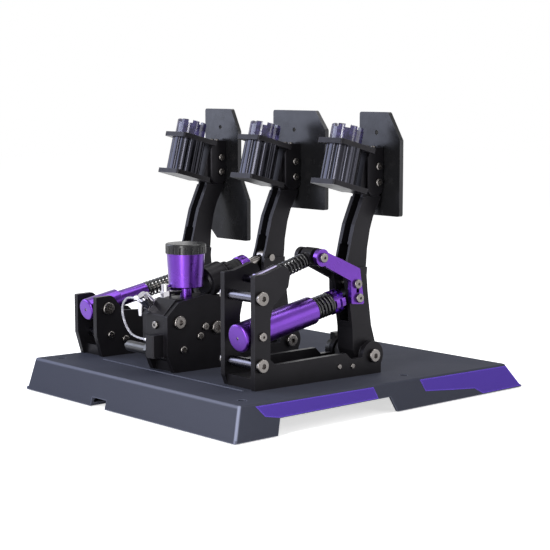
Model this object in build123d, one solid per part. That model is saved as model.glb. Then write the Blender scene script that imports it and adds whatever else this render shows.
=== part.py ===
from build123d import *
from math import atan2, cos, degrees, dist, pi, radians, sin, tan
import os

# Sim racing pedal set: three pedal modules on a folded sheet-metal tray.
# Origin: middle of the footprint, on the floor. +X is the driver's right,
# +Y is the way the pedals are pushed, +Z is up. All lengths in millimetres.

# Driving sizes of the tray
tray_width = 340.0
tray_length = 401.0
tray_back_height = 34.1
tray_front_height = 27.8
tray_sheet = 3.0
tray_back_lean = 9.0
tray_side_lean = 4.2
tray_front_run = 24.3
tray_corner_radius = 4.0
tray_edge_radius = 2.0
tray_foot_gap = 1.2
tray_lip_width = 16.0

# Cut-outs, beads and holes of the tray
recess_back = 144.0
recess_front = -6.0
recess_slant = 5.0
recess_height = 16.8
notch_x = 41.0
notch_width = 24.0
notch_height = 10.0
crease_rise = 0.9
crease_side_inset = 19.0
crease_back_y = -52.0
crease_front_y = -168.0
crease_nose_x = 29.0
bead_y = 141.0
bead_side_inset = 58.0
bead_width = 2.4
bead_rise = 0.7
mount_hole_radius = 4.25
mount_hole_inset = 24.0
mount_hole_back_y = 171.0
mount_hole_front_y = -42.0

# Rubber foot pads under the lips
pad_length = 34.5
pad_width = 12.0
pad_corner_radius = 3.0
pad_inset = 28.0

# Pedal modules
module_left_margin = 68.5
module_right_margin = 25.5
module_pitch = (tray_width - module_left_margin - module_right_margin) / 2
brake_x = (module_left_margin - module_right_margin) / 2
module_half_width = 20.0
clutch_right_half = 29.5
plate_thickness = 5.5
frame_rear = 138.5
frame_length = 172.8
pivot_y = -23.0
pivot_z = 49.0
lug_radius = 14.5
lug_front = 11.6
dip_rear = 37.7
dip_front = 30.5
beam_top = 55.5
beam_dip = 48.6
clutch_frame_height = 116.0
clutch_rear_share = 0.0231
throttle_frame_height = 65.0
brake_frame_height = 76.0
plate_corner_radius = 1.2
far_chamfer_depth = 9.0
far_chamfer_height = 19.0
rail_front = 6.0
rail_rear = 131.0
rail_height = 10.5
rail_clearance = 0.1
rail_pocket_half = 8.0
rail_pocket_floor = 4.2
rail_pocket_places_share = ((0.27, 0.45), (0.55, 0.73))
rail_screw_radius = 4.0
rail_screw_head_radius = 6.5
rail_screw_head_height = 4.0
rail_screw_depth = 8.0
rail_screw_places_share = (0.16, 0.84)

# Fasteners and pivots
bolt_shank_radius = 4.0
bolt_head_radius = 6.9
bolt_head_height = 4.2
bolt_socket_radius = 2.9
bolt_socket_depth = 2.4
small_shank_radius = 2.5
small_head_radius = 4.1
small_head_height = 2.6
small_socket_radius = 1.6
small_socket_depth = 1.4
head_round = 1.3
hole_clearance = 0.05
running_clearance = 0.3
shaft_radius = 6.0
pivot_thread_radius = 3.0
pivot_bolt_reach = 12.0
bush_radius = 8.0
bush_flange_radius = 11.5
bush_flange_gap = 0.3
bush_middle_gap = 1.1
spacer_radius = 5.0
sensor_radius = 12.0
sensor_height = 9.0
sensor_pocket_gap = 0.6
sensor_lead_low = 9.6
sensor_lead_high = 18.0
sensor_lead_height = 6.3

# Frame bolts, measured from the floor
clutch_top_bolt = (126.5, 120.5)
clutch_low_bolt = (126.5, 56.5)
beam_screws = ((24.0, 43.2), (5.8, 41.6))
beam_screw_reach = 4.0
beam_screw_radius = 1.5
beam_screw_head_radius = 2.6
beam_screw_head_height = 1.4
throttle_low_bolt = (123.0, 56.0)
throttle_mid_bolt = (104.0, 49.5)
brake_rear_bolt = (128.3, 84.0)
brake_fore_bolt = (79.8, 74.2)
brake_small_bolts = ((94.2, 76.3), (100.8, 67.3), (122.7, 55.5))

# Arms
arm_height = 207.0
arm_low_width = 22.0
arm_high_width = 18.0
arm_head_width = 14.0
arm_bend_share = 0.43
arm_hub_radius = 15.0
arm_slot_low_width = 13.0
arm_slot_high_width = 9.0
arm_slot_low_depth = 21.5
arm_slot_high_depth = 11.0
arm_slot_low_share = 0.17
arm_slot_mid_share = 0.545
arm_slot_top_share = 0.80
arm_corner_radius = 1.5
arm_front_shares = (
    (-0.058, 0.055), (-0.030, 0.142), (-0.004, 0.316), (0.003, 0.390), (-0.003, 0.452),
    (-0.008, 0.520), (-0.026, 0.610), (-0.048, 0.672),
)
arm_rear_shares = (
    (0.019, 0.767), (0.036, 0.731), (0.079, 0.638), (0.099, 0.566), (0.121, 0.481), (0.145, 0.411),
    (0.142, 0.382), (0.125, 0.317), (0.097, 0.140), (0.092, 0.030), (0.060, -0.035),
)

# Pedal head: adapter block and face plates
face_back = 23.0
face_thickness = 5.0
face_hole_radius = 2.4
face_hole_drop = 20.5
adapter_half_width = 10.5
adapter_depth = 22.0
adapter_web = 3.0
adapter_rise = 1.0
adapter_top = arm_height + adapter_rise
adapter_height = 48.5
adapter_cheek_round = 9.0
adapter_top_run = 4.0
adapter_top_fall = 10.0
adapter_edge_round = 0.8
adapter_bolt_back = 15.0
adapter_bolt_drop = 34.0
adapter_bolt_pitch = 16.0
arm_head_foot_share = 0.755
face_rise = 36.0
face_top = arm_height + face_rise
plain_face_height = 104.0
clutch_face_left = 32.6
clutch_face_right = 24.3
clutch_face_top_left = 15.7
clutch_face_chamfer = 27.8
brake_face_left = 48.2
brake_face_right = 33.4
brake_face_top_left = 32.4
brake_face_chamfer = 20.0
throttle_face_height = 146.0
throttle_face_left = 30.5
throttle_face_right = 26.7
throttle_face_top_left = 18.2
throttle_face_chamfer = 24.7
throttle_face_flare = 46.2
throttle_flare_drop = 70.0
throttle_flare_run = 31.0
throttle_toe_x = 6.8
throttle_toe_height = 18.4

# Vibration motor on each arm
motor_back = 27.0
motor_drop = 15.5
motor_up = arm_height - motor_drop
motor_tilt = 14.6
motor_radius = 18.2
motor_height = 36.0
motor_flutes = 18
motor_flute_radius = 1.7
flange_thickness = 5.0
flange_half_width = 18.0
flange_rear = 21.0
flange_round = 3.0
web_thickness = 5.0
web_half_width = 6.7
crown_radius = 16.2
crown_wall = 4.0
crown_height = 16.0
crown_rim_chamfer = 0.7
crown_seat_radius = 10.7
crown_floor = 7.0
crown_notches = 8
crown_notch_width = 5.0
crown_notch_depth = 3.4
crown_bore_radius = 3.0
top_screw_spread = 4.2
top_screw_back = 6.0
top_screw_head_radius = 2.6
top_screw_socket_radius = 1.2

# Clutch links and the assist strut above the damper
link_thickness = 5.0
link_end_radius = 8.5
link_shares = (
    (0.329, 0.541), (0.073, 0.4295), (0.0435, 0.255), (0.128, 0.263), (0.131, 0.374), (0.300, 0.456),
)
link_eye_share = (0.319, 0.500)
link_bolt_share = (0.093, 0.357)
link_slot_width = 4.0
link_slot_low_share = 0.312
link_slot_high_share = 0.334
link_round = 1.6
link_screw_shank = 3.0
link_screw_head_radius = 4.8
link_screw_head_height = 3.2
assist_pivot = (108.0, 134.5)
assist_barrel_radius = 9.0
assist_barrel_rear = 8.0
assist_barrel_front = 18.5
assist_rod_radius = 3.5
assist_pin_depth = 3.5
assist_collar_radius = 7.6
assist_collar_length = 2.5
assist_collar_back = 10.5
assist_eye_radius = 9.0
assist_eye_half = 6.8
assist_spring_radius = 6.6
assist_spring_wire = 2.0
assist_spring_turns = 7

# Clutch damper
clutch_damper_pivot = (125.0, 84.0)
clutch_pin_share = (0.081, 0.2875)
damper_radius = 14.0
damper_cap_length = 4.0
damper_cap_dome = 2.2
damper_cap_hole = 1.6
damper_rear = 14.0
damper_front = 82.4
damper_nose_chamfer = 1.2
rod_radius = 4.0
rod_bore_clearance = 0.35
rod_tail = 30.0
eye_radius = 8.6
eye_half_width = 4.6
eye_pin_radius = 3.6
eye_play = 1.5
clutch_spring_radius = 10.2
clutch_spring_wire = 2.6
clutch_spring_turns = 4
ring_radius = 12.0
ring_length = 12.0
ring_back = 14.0
ring_notches = 6
ring_notch_width = 4.0
ring_notch_depth = 2.2
ring_groove_width = 3.0
ring_groove_depth = 2.0
pivot_screw_radius = 3.5
pivot_screw_reach = 4.0
pivot_screw_head_radius = 4.5

# Throttle damper
throttle_damper_pivot = (127.0, 84.5)
throttle_pin_share = (0.087, 0.2875)
throttle_damper_radius = 11.6
throttle_damper_rear = 14.0
throttle_damper_front = 28.0
throttle_neck_radius = 8.5
throttle_neck_front = 66.0
throttle_spring_radius = 7.6
throttle_spring_wire = 2.2
throttle_spring_turns = 7
throttle_collar_radius = 10.0
throttle_collar_length = 6.0
throttle_collar_back = 23.0

# Brake cylinder, reservoir, preload wheel and hose
brake_axis_rear = (100.0, 113.0)
brake_pin_share = (0.087, 0.431)
block_rear = 142.5
block_front = 66.0
block_top = 106.0
block_rear_top = 91.5
block_chamfer_run = 15.0
block_low = 40.0
cylinder_radius = 12.5
cylinder_rear = 20.5
cylinder_front = 53.2
cylinder_lip = 1.6
cylinder_groove_back = 6.4
cylinder_groove_width = 2.4
cylinder_groove_depth = 0.8
collar_radius = 15.7
collar_rear = 22.5
collar_front = 45.2
elastomer_radius = 10.8
elastomer_length = 15.0
elastomer_gap = 0.3
elastomer_grooves = 2
elastomer_groove_depth = 1.6
elastomer_groove_width = 2.0
wheel_radius = 11.8
wheel_length = 10.5
wheel_scallops = 10
wheel_scallop_radius = 2.2
brake_rod_radius = 5.0
brake_rod_bore = 18.0
reservoir_y = 102.6
reservoir_low_radius = 17.3
reservoir_top_radius = 19.4
reservoir_bottom = 115.7
reservoir_top = 150.0
reservoir_mouth_radius = 13.0
reservoir_mouth_depth = 6.0
neck_radius = 6.0
cap_radius = 20.6
cap_gap = 0.2
cap_height = 10.2
cap_ribs = 20
cap_rib_radius = 0.9
cap_top_round = 1.4
rear_bolt_x = 2.0
rear_bolt_z = 81.0
rear_bolt_reach = 12.0
shoulder_union_x = 12.0
shoulder_union_share = 0.62
banjo_radius = 6.8
banjo_low = 6.5
banjo_high = 15.5
union_nut_radius = 7.5
union_nut_low = 0.0
union_nut_high = 5.0
union_post_radius = 4.4
union_post_length = 19.0
union_stub_radius = 3.2
outlet_length = 16.0
bleed_radius = 3.8
bleed_tip_radius = 2.2
bleed_length = 16.0
neck_union_x = 8.4
neck_union_y = 121.9
neck_union_radius = 5.6
neck_union_height = 13.0
neck_union_top_radius = 4.5
neck_pipe_height = 6.0
rear_port_x = -7.5
rear_port_z = 65.7
rear_port_half = 6.5
rear_port_depth = 13.4
rear_port_chamfer = 1.3
port_nut_radius = 3.8
port_nut_length = 3.0
port_stub_radius = 2.4
port_outlet_length = 6.5
sensor_tube_radius = 5.5
sensor_tube_length = 36.0
sensor_nut_radius = 6.4
sensor_nut_length = 4.0
sensor_drop = 9.5
sensor_lead_radius = 2.6
hose_radius = 1.3
hose_bend_share = 0.45
hose_port_run = 16.0
hose_outlet_run = 9.0
hose_route_middle = (
    (35.0, 149.2, 70.2), (44.8, 149.0, 83.5), (47.6, 148.0, 95.5), (43.6, 146.0, 103.4),
)

spring_seat_share = 0.62
overrun = 2.0


def box_middle_x():
    """Middle of the whole part's width: the throttle face stands out past the tray."""
    return (brake_x + module_pitch + throttle_face_right - tray_width / 2) / 2


def tray_back_top_y():
    return tray_length / 2 - tray_back_lean


def tray_front_top_y():
    return -tray_length / 2 + tray_front_run


def deck_slope():
    return (tray_back_height - tray_front_height) / (tray_back_top_y() - tray_front_top_y())


def deck_z(y):
    """Height of the deck's upper face at a place along the tray."""
    return tray_front_height + deck_slope() * (y - tray_front_top_y())


def deck_plane(lift):
    """Plane on the sloping deck, with its X along the tray's width."""
    return Plane(origin=(0, 0, deck_z(0) + lift), x_dir=(1, 0, 0), z_dir=(0, -deck_slope(), 1))


def slab(points, x_low, x_high):
    """Flat piece with an outline in the Y-Z plane, between two X places."""
    return extrude(Plane.YZ.offset(x_low) * make_face(Polyline(*points, close=True)), amount=x_high - x_low)


def rounded_slab(points, x_low, x_high, radius):
    face = make_face(Polyline(*points, close=True))
    face = fillet(face.vertices(), radius)
    return extrude(Plane.YZ.offset(x_low) * face, amount=x_high - x_low)


def bar_x(y, z, radius, x_low, x_high):
    """Round bar along X."""
    bar = Cylinder(radius, x_high - x_low, align=(Align.CENTER, Align.CENTER, Align.MIN))
    return Plane(origin=(x_low, y, z), z_dir=(1, 0, 0)).location * bar


def bar_z(radius, low, high):
    """Round bar along the local Z axis."""
    bar = Cylinder(radius, high - low, align=(Align.CENTER, Align.CENTER, Align.MIN))
    return Pos(0, 0, low) * bar


def box_between(low, high):
    size = [b - a for a, b in zip(low, high)]
    return Pos(*low) * Box(*size, align=(Align.MIN, Align.MIN, Align.MIN))


def button_head(radius, height, socket_radius, socket_depth):
    """Domed head on the local Z axis, standing on Z zero, with a hex socket."""
    head = bar_z(radius, 0, height)
    head = fillet(head.edges().group_by(Axis.Z)[-1], min(head_round, height / 2))
    socket = extrude(RegularPolygon(socket_radius, 6), amount=socket_depth + overrun)
    return head - Pos(0, 0, height - socket_depth) * socket


def side_bolt(y, z, x_low, x_high, small=False):
    """Bolt along X: a shank between two faces with a socket head on each end."""
    shank = small_shank_radius if small else bolt_shank_radius
    sizes = (bolt_head_radius, bolt_head_height, bolt_socket_radius, bolt_socket_depth)
    if small:
        sizes = (small_head_radius, small_head_height, small_socket_radius, small_socket_depth)
    head = button_head(*sizes)
    left = Plane(origin=(x_low, y, z), z_dir=(-1, 0, 0)).location * head
    right = Plane(origin=(x_high, y, z), z_dir=(1, 0, 0)).location * head
    return bar_x(y, z, shank, x_low, x_high) + left + right


def side_screw(y, z, x_face, x_tip, shank, head_radius, head_height):
    """Screw along X with one socket head outside a face."""
    outward = -1 if x_tip > x_face else 1
    head = button_head(head_radius, head_height, small_socket_radius, small_socket_depth)
    head = Plane(origin=(x_face, y, z), z_dir=(outward, 0, 0)).location * head
    return head + bar_x(y, z, shank, min(x_face, x_tip), max(x_face, x_tip))


def from_pivot(share):
    """Place in the Y-Z plane given as shares of the arm's height from its pivot."""
    return (pivot_y + share[0] * arm_height, pivot_z + share[1] * arm_height)


def strut_plane(module_x, rear, front):
    """Plane at a strut's rear pivot whose Z axis points to its front pivot."""
    along = (0, front[0] - rear[0], front[1] - rear[1])
    return Plane(origin=(module_x, *rear), x_dir=(1, 0, 0), z_dir=along)


def coil_point(radius, pitch, turn, start):
    angle = 2 * pi * turn
    return Vector(radius * cos(angle), radius * sin(angle), start + pitch * turn)


def coil_tangent(radius, pitch, turn):
    angle = 2 * pi * turn
    return Vector(-radius * sin(angle) * 2 * pi, radius * cos(angle) * 2 * pi, pitch).normalized()


def biarc(start, start_dir, end, end_dir):
    """Two arcs that join two points and keep both directions."""
    chord = end - start
    both = start_dir + end_dir
    a = both.dot(both) - 4
    b = -2 * chord.dot(both)
    c = chord.dot(chord)
    reach = (-b - (b * b - 4 * a * c) ** 0.5) / (2 * a)
    near = start + start_dir * reach
    far = end - end_dir * reach
    middle = (near + far) * 0.5
    return [TangentArc(start, middle, tangent=start_dir), TangentArc(middle, end, tangent=far - near)]


def coil_spring(name, radius, wire, turns, low, high):
    """Coil spring on the local Z axis between two seats, one unbroken wire."""
    steps = 4
    inset = wire * spring_seat_share
    start = low + inset
    pitch = (high - low - 2 * inset) / turns
    first = coil_point(radius, pitch, 0, start)
    first_dir = coil_tangent(radius, pitch, 0)
    pieces = [Line(first - first_dir * wire, first)]
    for step in range(turns * steps):
        here, there = step / steps, (step + 1) / steps
        pieces += biarc(
            coil_point(radius, pitch, here, start), coil_tangent(radius, pitch, here),
            coil_point(radius, pitch, there, start), coil_tangent(radius, pitch, there),
        )
    last = coil_point(radius, pitch, turns, start)
    last_dir = coil_tangent(radius, pitch, turns)
    pieces.append(Line(last, last + last_dir * wire))
    path = Wire([edge for piece in pieces for edge in piece.edges()])
    section = Plane(origin=first - first_dir * wire, z_dir=first_dir) * Circle(wire / 2)
    spring = sweep(section, path=path)
    print(name, "least gap to itself", round(coil_gap(radius, pitch, wire, turns), 2), "mm")
    return spring


def coil_gap(radius, pitch, wire, turns):
    """Least free distance between points a good part of a turn apart."""
    per_turn = 24
    points = [coil_point(radius, pitch, i / per_turn, 0) for i in range(turns * per_turn + 1)]
    gaps = []
    for i, here in enumerate(points):
        for there in points[i + per_turn // 2:]:
            gaps.append((there - here).length - wire)
    return min(gaps)


def tray_body(shrink):
    """Solid tray shape, drawn in by a sheet's thickness on the top and sides."""
    back_low = tray_length / 2 - shrink
    front_low = -tray_length / 2 + shrink * 2
    points = (
        (back_low, 0),
        (tray_back_top_y() - shrink, tray_back_height - shrink),
        (tray_front_top_y() + shrink, tray_front_height - shrink),
        (front_low, 0),
    )
    body = slab(points, -tray_width / 2, tray_width / 2)
    lean = degrees(atan2(tray_side_lean, tray_back_height))
    for side in (-1, 1):
        edge = side * (tray_width / 2 - shrink)
        cutter = Pos(side * tray_width / 2, 0, 0) * Box(tray_width, tray_length * 2, tray_width)
        body -= Pos(edge, 0, 0) * Rot(0, -side * lean, 0) * cutter
    return body


def make_tray():
    outer = tray_body(0)
    corners = outer.edges().filter_by(lambda e: abs(e.tangent_at(0.5).Z) > 0.6)
    outer = fillet(corners, tray_corner_radius)
    rim = outer.edges().filter_by(lambda e: e.center().Z > tray_front_height - tray_edge_radius)
    outer = fillet(rim, tray_edge_radius)
    tray = outer - tray_body(tray_sheet)
    tray += tray_lips()
    for side in (-1, 1):
        x = side * tray_width / 2
        points = (
            (recess_back + recess_slant, -overrun), (recess_back, recess_height),
            (recess_front + recess_slant, recess_height), (recess_front - recess_slant, -overrun),
        )
        tray -= slab(points, x - tray_lip_width * 2, x + tray_lip_width * 2)
    tray -= box_between(
        (notch_x - notch_width / 2, tray_back_top_y() - tray_lip_width * 2, -overrun),
        (notch_x + notch_width / 2, tray_length, notch_height),
    )
    tray += heel_crease() + deck_bead()
    for x, y in mount_places():
        tray -= Pos(x, y, 0) * bar_z(mount_hole_radius, 0, tray_back_height + overrun)
    for x, y in rail_screw_places():
        tray -= Pos(x, y, 0) * bar_z(rail_screw_radius + hole_clearance, 0, tray_back_height + overrun)
    tray -= box_between((-tray_width, -tray_length, -overrun), (tray_width, tray_length, tray_foot_gap))
    return tray


def tray_lips():
    """Inward lips along the back and front flanges, which carry the foot pads."""
    lips = tray_body(0) & box_between(
        (-tray_width / 2, tray_length / 2 - tray_back_lean - tray_lip_width, tray_foot_gap),
        (tray_width / 2, tray_length / 2, tray_foot_gap + tray_sheet),
    )
    lips += tray_body(0) & box_between(
        (-tray_width / 2, -tray_length / 2, tray_foot_gap),
        (tray_width / 2, tray_front_top_y() + tray_lip_width / 2, tray_foot_gap + tray_sheet),
    )
    return lips


def heel_crease():
    """Slightly raised heel area with slanting sides, pressed into the deck."""
    side = tray_width / 2 - crease_side_inset
    outline = make_face(Polyline(
        (-side, crease_back_y), (side, crease_back_y),
        (crease_nose_x, crease_front_y), (-crease_nose_x, crease_front_y), close=True,
    ))
    plane = deck_plane(-tray_sheet / 2)
    return extrude(plane * outline, amount=tray_sheet / 2 + crease_rise, taper=45)


def deck_bead():
    """Low stiffening bead across the deck behind the modules."""
    outline = Pos(0, bead_y) * Rectangle(tray_width - bead_side_inset * 2, bead_width)
    return extrude(deck_plane(-tray_sheet / 2) * outline, amount=tray_sheet / 2 + bead_rise)


def mount_places():
    places = []
    hole_x = tray_width / 2 - mount_hole_inset
    for x in (-hole_x, hole_x):
        for y in (mount_hole_back_y, mount_hole_front_y):
            places.append((x, y))
    return places


def module_places():
    return (brake_x - module_pitch, brake_x, brake_x + module_pitch)


def module_reach(module_x, side):
    """Distance from a module's middle to one of its outer faces; the clutch is wider on the right."""
    wide = side == 1 and module_x == module_places()[0]
    return clutch_right_half if wide else module_half_width


def module_faces(module_x, inset=0.0):
    """Left and right X places of a module's outer faces, or of faces inside them."""
    return [module_x + side * (module_reach(module_x, side) - inset) for side in (-1, 1)]


def rail_screw_places():
    places = []
    for x in module_places():
        for share in rail_screw_places_share:
            places.append((x, rail_front + share * (rail_rear - rail_front)))
    return places


def make_foot_pads():
    pads = []
    for x in (-tray_width / 2 + pad_inset, tray_width / 2 - pad_inset):
        for y in (tray_length / 2 - tray_back_lean - tray_sheet, -tray_length / 2 + tray_front_run):
            low = (x - pad_length / 2, y - pad_width, 0)
            high = (x + pad_length / 2, y, tray_foot_gap)
            pads.append(fillet(box_between(low, high).edges().filter_by(Axis.Z), pad_corner_radius))
    return pads


def make_rail_screws():
    screws = []
    for x, y in rail_screw_places():
        under = deck_z(y) - tray_sheet - rail_screw_head_radius * deck_slope()
        head = bar_z(rail_screw_head_radius, under - rail_screw_head_height, under)
        shank = bar_z(rail_screw_radius, under, deck_z(y) + rail_screw_depth)
        screws.append(Pos(x, y, 0) * (head + shank))
    return screws


def frame_point(share, height):
    """Outline point of a side plate, as shares of its length and height."""
    return (frame_rear - share[0] * frame_length, deck_z(frame_rear) + share[1] * height)


clutch_plate_shares = (
    (clutch_rear_share, 0.943), (0.101, 0.948), (0.223, 1.0), (0.268, 0.975), (0.284, 0.930),
    (0.269, 0.822), (0.156, 0.678), (0.139, 0.573), (0.136, 0.240),
)
throttle_plate_shares = (
    (-0.0145, 0.36), (-0.0145, 0.985), (0.100, 0.99), (0.125, 0.94), (0.185, 0.73), (0.37, 0.70),
    (0.43, 0.55), (0.47, 0.38),
)
brake_plate_shares = (
    (-0.0225, 0.25), (-0.0225, 0.755), (0.064, 0.93), (0.280, 1.0), (0.390, 0.93), (0.465, 0.72),
    (0.500, 0.36),
)


def plate_outline(shares, height, foot_inset):
    rear_foot = frame_rear - foot_inset
    front = pivot_y - lug_front
    points = [(rear_foot, deck_z(rear_foot))]
    points += [frame_point(share, height) for share in shares]
    points.append((points[-1][0] - (beam_top - beam_dip), beam_top))
    points += [
        (pivot_y + dip_rear, beam_top), (pivot_y + dip_front, beam_dip),
        (pivot_y, beam_dip), (front, beam_dip), (front, deck_z(front)),
    ]
    return points


def make_side_plate(module_x, side, shares, height, foot_inset, holes, pockets, far_chamfer):
    """Side plate of one module; side is -1 for the driver's left, 1 for right."""
    outer = module_x + side * module_reach(module_x, side)
    inner = outer - side * plate_thickness
    low, high = min(outer, inner), max(outer, inner)
    plate = rounded_slab(plate_outline(shares, height, foot_inset), low, high, plate_corner_radius)
    plate += bar_x(pivot_y, pivot_z, lug_radius, low, high)
    for y, z, radius in holes:
        plate -= bar_x(y, z, radius + hole_clearance, low - overrun, high + overrun)
    for y, z, radius, face, inward, depth in pockets:
        start = (outer if face == "outer" else inner) - side * inward * overrun
        end = start + side * inward * (depth + overrun)
        plate -= bar_x(y, z, radius + hole_clearance, min(start, end), max(start, end))
    plate -= bar_x(pivot_y, pivot_z, shaft_radius + hole_clearance, low - overrun, high + overrun)
    if far_chamfer:
        foot = deck_z(frame_rear)
        plate -= slab(
            (
                (frame_rear + overrun, foot - overrun), (frame_rear + overrun, foot + far_chamfer_height),
                (frame_rear, foot + far_chamfer_height), (frame_rear - far_chamfer_depth, foot - overrun),
            ),
            low - overrun, high + overrun,
        )
    return plate


def clutch_holes():
    return [
        (*clutch_top_bolt, bolt_shank_radius), (*clutch_low_bolt, bolt_shank_radius),
        (*clutch_damper_pivot, pivot_screw_radius),
    ]


def clutch_pockets(side):
    """Blind holes of a clutch plate: the assist barrel's pin, and small screws on the left."""
    pockets = [(*assist_pivot, bolt_shank_radius, "inner", 1, assist_pin_depth)]
    if side == -1:
        pockets += [(*place, beam_screw_radius, "outer", -1, beam_screw_reach) for place in beam_screws]
    return pockets


def throttle_holes():
    return [
        (*throttle_damper_pivot, bolt_shank_radius), (*throttle_low_bolt, small_shank_radius),
        (*throttle_mid_bolt, small_shank_radius),
    ]


def brake_holes():
    holes = [(*brake_rear_bolt, bolt_shank_radius), (*brake_fore_bolt, bolt_shank_radius)]
    holes += [(*place, small_shank_radius) for place in brake_small_bolts]
    return holes


def make_rail(module_x):
    """Foot rail between two side plates, lightened by pockets, standing on the deck."""
    points = (
        (rail_rear, deck_z(rail_rear)), (rail_rear, deck_z(rail_rear) + rail_height),
        (rail_front + rail_height / 2, deck_z(rail_front) + rail_height),
        (rail_front, deck_z(rail_front) + rail_height / 2), (rail_front, deck_z(rail_front)),
    )
    rail = slab(points, *module_faces(module_x, plate_thickness + rail_clearance))
    for low_share, high_share in rail_pocket_places_share:
        y_low = rail_front + low_share * (rail_rear - rail_front)
        y_high = rail_front + high_share * (rail_rear - rail_front)
        low = (module_x - rail_pocket_half, y_low, deck_z(y_low) + rail_pocket_floor)
        high = (module_x + rail_pocket_half, y_high, deck_z(y_high) + rail_height + overrun)
        rail -= box_between(low, high)
    for x, y in rail_screw_places():
        if x == module_x:
            rail -= Pos(x, y, 0) * bar_z(rail_screw_radius, 0, deck_z(y) + rail_screw_depth)
    return rail


def make_spacers():
    """Round cross spacers between the side plates, bored for their bolts."""
    clutch_x, _, throttle_x = module_places()
    places = [(clutch_x, *bolt, bolt_shank_radius) for bolt in (clutch_top_bolt, clutch_low_bolt)]
    places += [(throttle_x, *bolt, small_shank_radius) for bolt in (throttle_low_bolt, throttle_mid_bolt)]
    spacers = []
    for x, y, z, radius in places:
        low, high = module_faces(x, plate_thickness)
        bar = bar_x(y, z, spacer_radius, low, high)
        spacers.append(bar - bar_x(y, z, radius + hole_clearance, low - overrun, high + overrun))
    return spacers


def make_frame_bolts():
    """Every bolt and screw that holds the three frames together and to the tray."""
    clutch_x, middle_x, throttle_x = module_places()
    bolts = [side_bolt(*place, *module_faces(clutch_x)) for place in (clutch_top_bolt, clutch_low_bolt)]
    bolts += [side_bolt(*place, *module_faces(middle_x)) for place in (brake_rear_bolt, brake_fore_bolt)]
    for place in (throttle_low_bolt, throttle_mid_bolt):
        bolts.append(side_bolt(*place, *module_faces(throttle_x), small=True))
    for place in brake_small_bolts:
        bolts.append(side_bolt(*place, *module_faces(middle_x), small=True))
    bolts += [make_block_bolt()] + make_beam_screws()
    return bolts + make_pivot_bolts() + make_pivot_screws() + make_rail_screws()


def block_bolt_plane():
    return Plane(origin=(brake_x - rear_bolt_x, block_rear, rear_bolt_z), z_dir=(0, 1, 0))


def make_block_bolt():
    """Bolt in the rear face of the brake's cylinder block."""
    head = button_head(small_head_radius, small_head_height, small_socket_radius, small_socket_depth)
    return block_bolt_plane().location * (head + bar_z(small_shank_radius, -rear_bolt_reach, 0))


def make_beam_screws():
    """Small blind screws in the outer face of the clutch's left plate."""
    face = module_faces(module_places()[0])[0]
    screws = []
    for y, z in beam_screws:
        head = bar_z(beam_screw_head_radius, 0, beam_screw_head_height)
        head = fillet(head.edges().group_by(Axis.Z)[-1], beam_screw_head_height / 2)
        head = Plane(origin=(face, y, z), z_dir=(-1, 0, 0)).location * head
        screws.append(head + bar_x(y, z, beam_screw_radius, face, face + beam_screw_reach))
    return screws


def make_pivot_shafts():
    """Three pivot shafts, each tapped at both ends for its bolts."""
    shafts = []
    for x in module_places():
        shaft = bar_x(pivot_y, pivot_z, shaft_radius, *module_faces(x))
        shafts.append(shaft - bar_x(pivot_y, pivot_z, pivot_thread_radius, *module_faces(x, -overrun)))
    return shafts


def make_pivot_bolts():
    """Button-head bolts screwed into both ends of each pivot shaft."""
    bolts = []
    head = button_head(bolt_head_radius, bolt_head_height, bolt_socket_radius, bolt_socket_depth)
    for x in module_places():
        for side in (-1, 1):
            face = x + side * module_reach(x, side)
            placed = Plane(origin=(face, pivot_y, pivot_z), z_dir=(side, 0, 0)).location * head
            tip = face - side * pivot_bolt_reach
            shank = bar_x(pivot_y, pivot_z, pivot_thread_radius, min(face, tip), max(face, tip))
            bolts.append(placed + shank)
    return bolts


def make_sensors():
    """Round position sensors over one end of the clutch and throttle pivots."""
    sensors = []
    clutch_x, _, throttle_x = module_places()
    for x, side in ((clutch_x, 1), (throttle_x, -1)):
        face = x + side * module_reach(x, side)
        body = bar_z(sensor_radius, 0, sensor_height)
        body = chamfer(body.edges().group_by(Axis.Z)[-1], head_round)
        pocket = bar_z(bolt_head_radius + sensor_pocket_gap, -overrun, bolt_head_height + sensor_pocket_gap)
        lead_boss = box_between(
            (-sensor_radius / 2, sensor_lead_low, 0),
            (sensor_radius / 2, sensor_lead_high, sensor_lead_height),
        )
        turned = Plane(origin=(face, pivot_y, pivot_z), x_dir=(0, 1, 0), z_dir=(side, 0, 0))
        sensors.append(turned.location * (body + lead_boss - pocket))
    return sensors


def head_rear_y(z):
    """Rear edge of the arm's head, which leans as the motor does."""
    y, low = from_pivot(arm_rear_shares[0])
    return y - (z - low) * tan(radians(motor_tilt))


def arm_rear_y(z_share):
    """Rear edge of the arm at a share of its height."""
    points = sorted(arm_rear_shares, key=lambda p: p[1])
    for low, high in zip(points, points[1:]):
        if low[1] <= z_share <= high[1]:
            part = (z_share - low[1]) / (high[1] - low[1])
            return pivot_y + (low[0] + part * (high[0] - low[0])) * arm_height
    return head_rear_y(pivot_z + z_share * arm_height)


def arm_outline():
    front = pivot_y - face_back + adapter_web
    foot = pivot_z + arm_head_foot_share * arm_height
    top = pivot_z + arm_height
    points = [from_pivot(share) for share in arm_front_shares]
    points += [(front, foot), (front, top), (head_rear_y(top), top)]
    points += [from_pivot(share) for share in arm_rear_shares]
    return points


def channel_outline(low_share, high_share, depth):
    """Outline of the channel that runs along the arm's rear edge."""
    between = sorted(share[1] for share in arm_rear_shares if low_share < share[1] < high_share)
    shares = [low_share, *between, high_share]
    outside = [(arm_rear_y(s) + depth, pivot_z + s * arm_height) for s in shares]
    inside = [(arm_rear_y(s) - depth, pivot_z + s * arm_height) for s in reversed(shares)]
    return outside + inside


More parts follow.
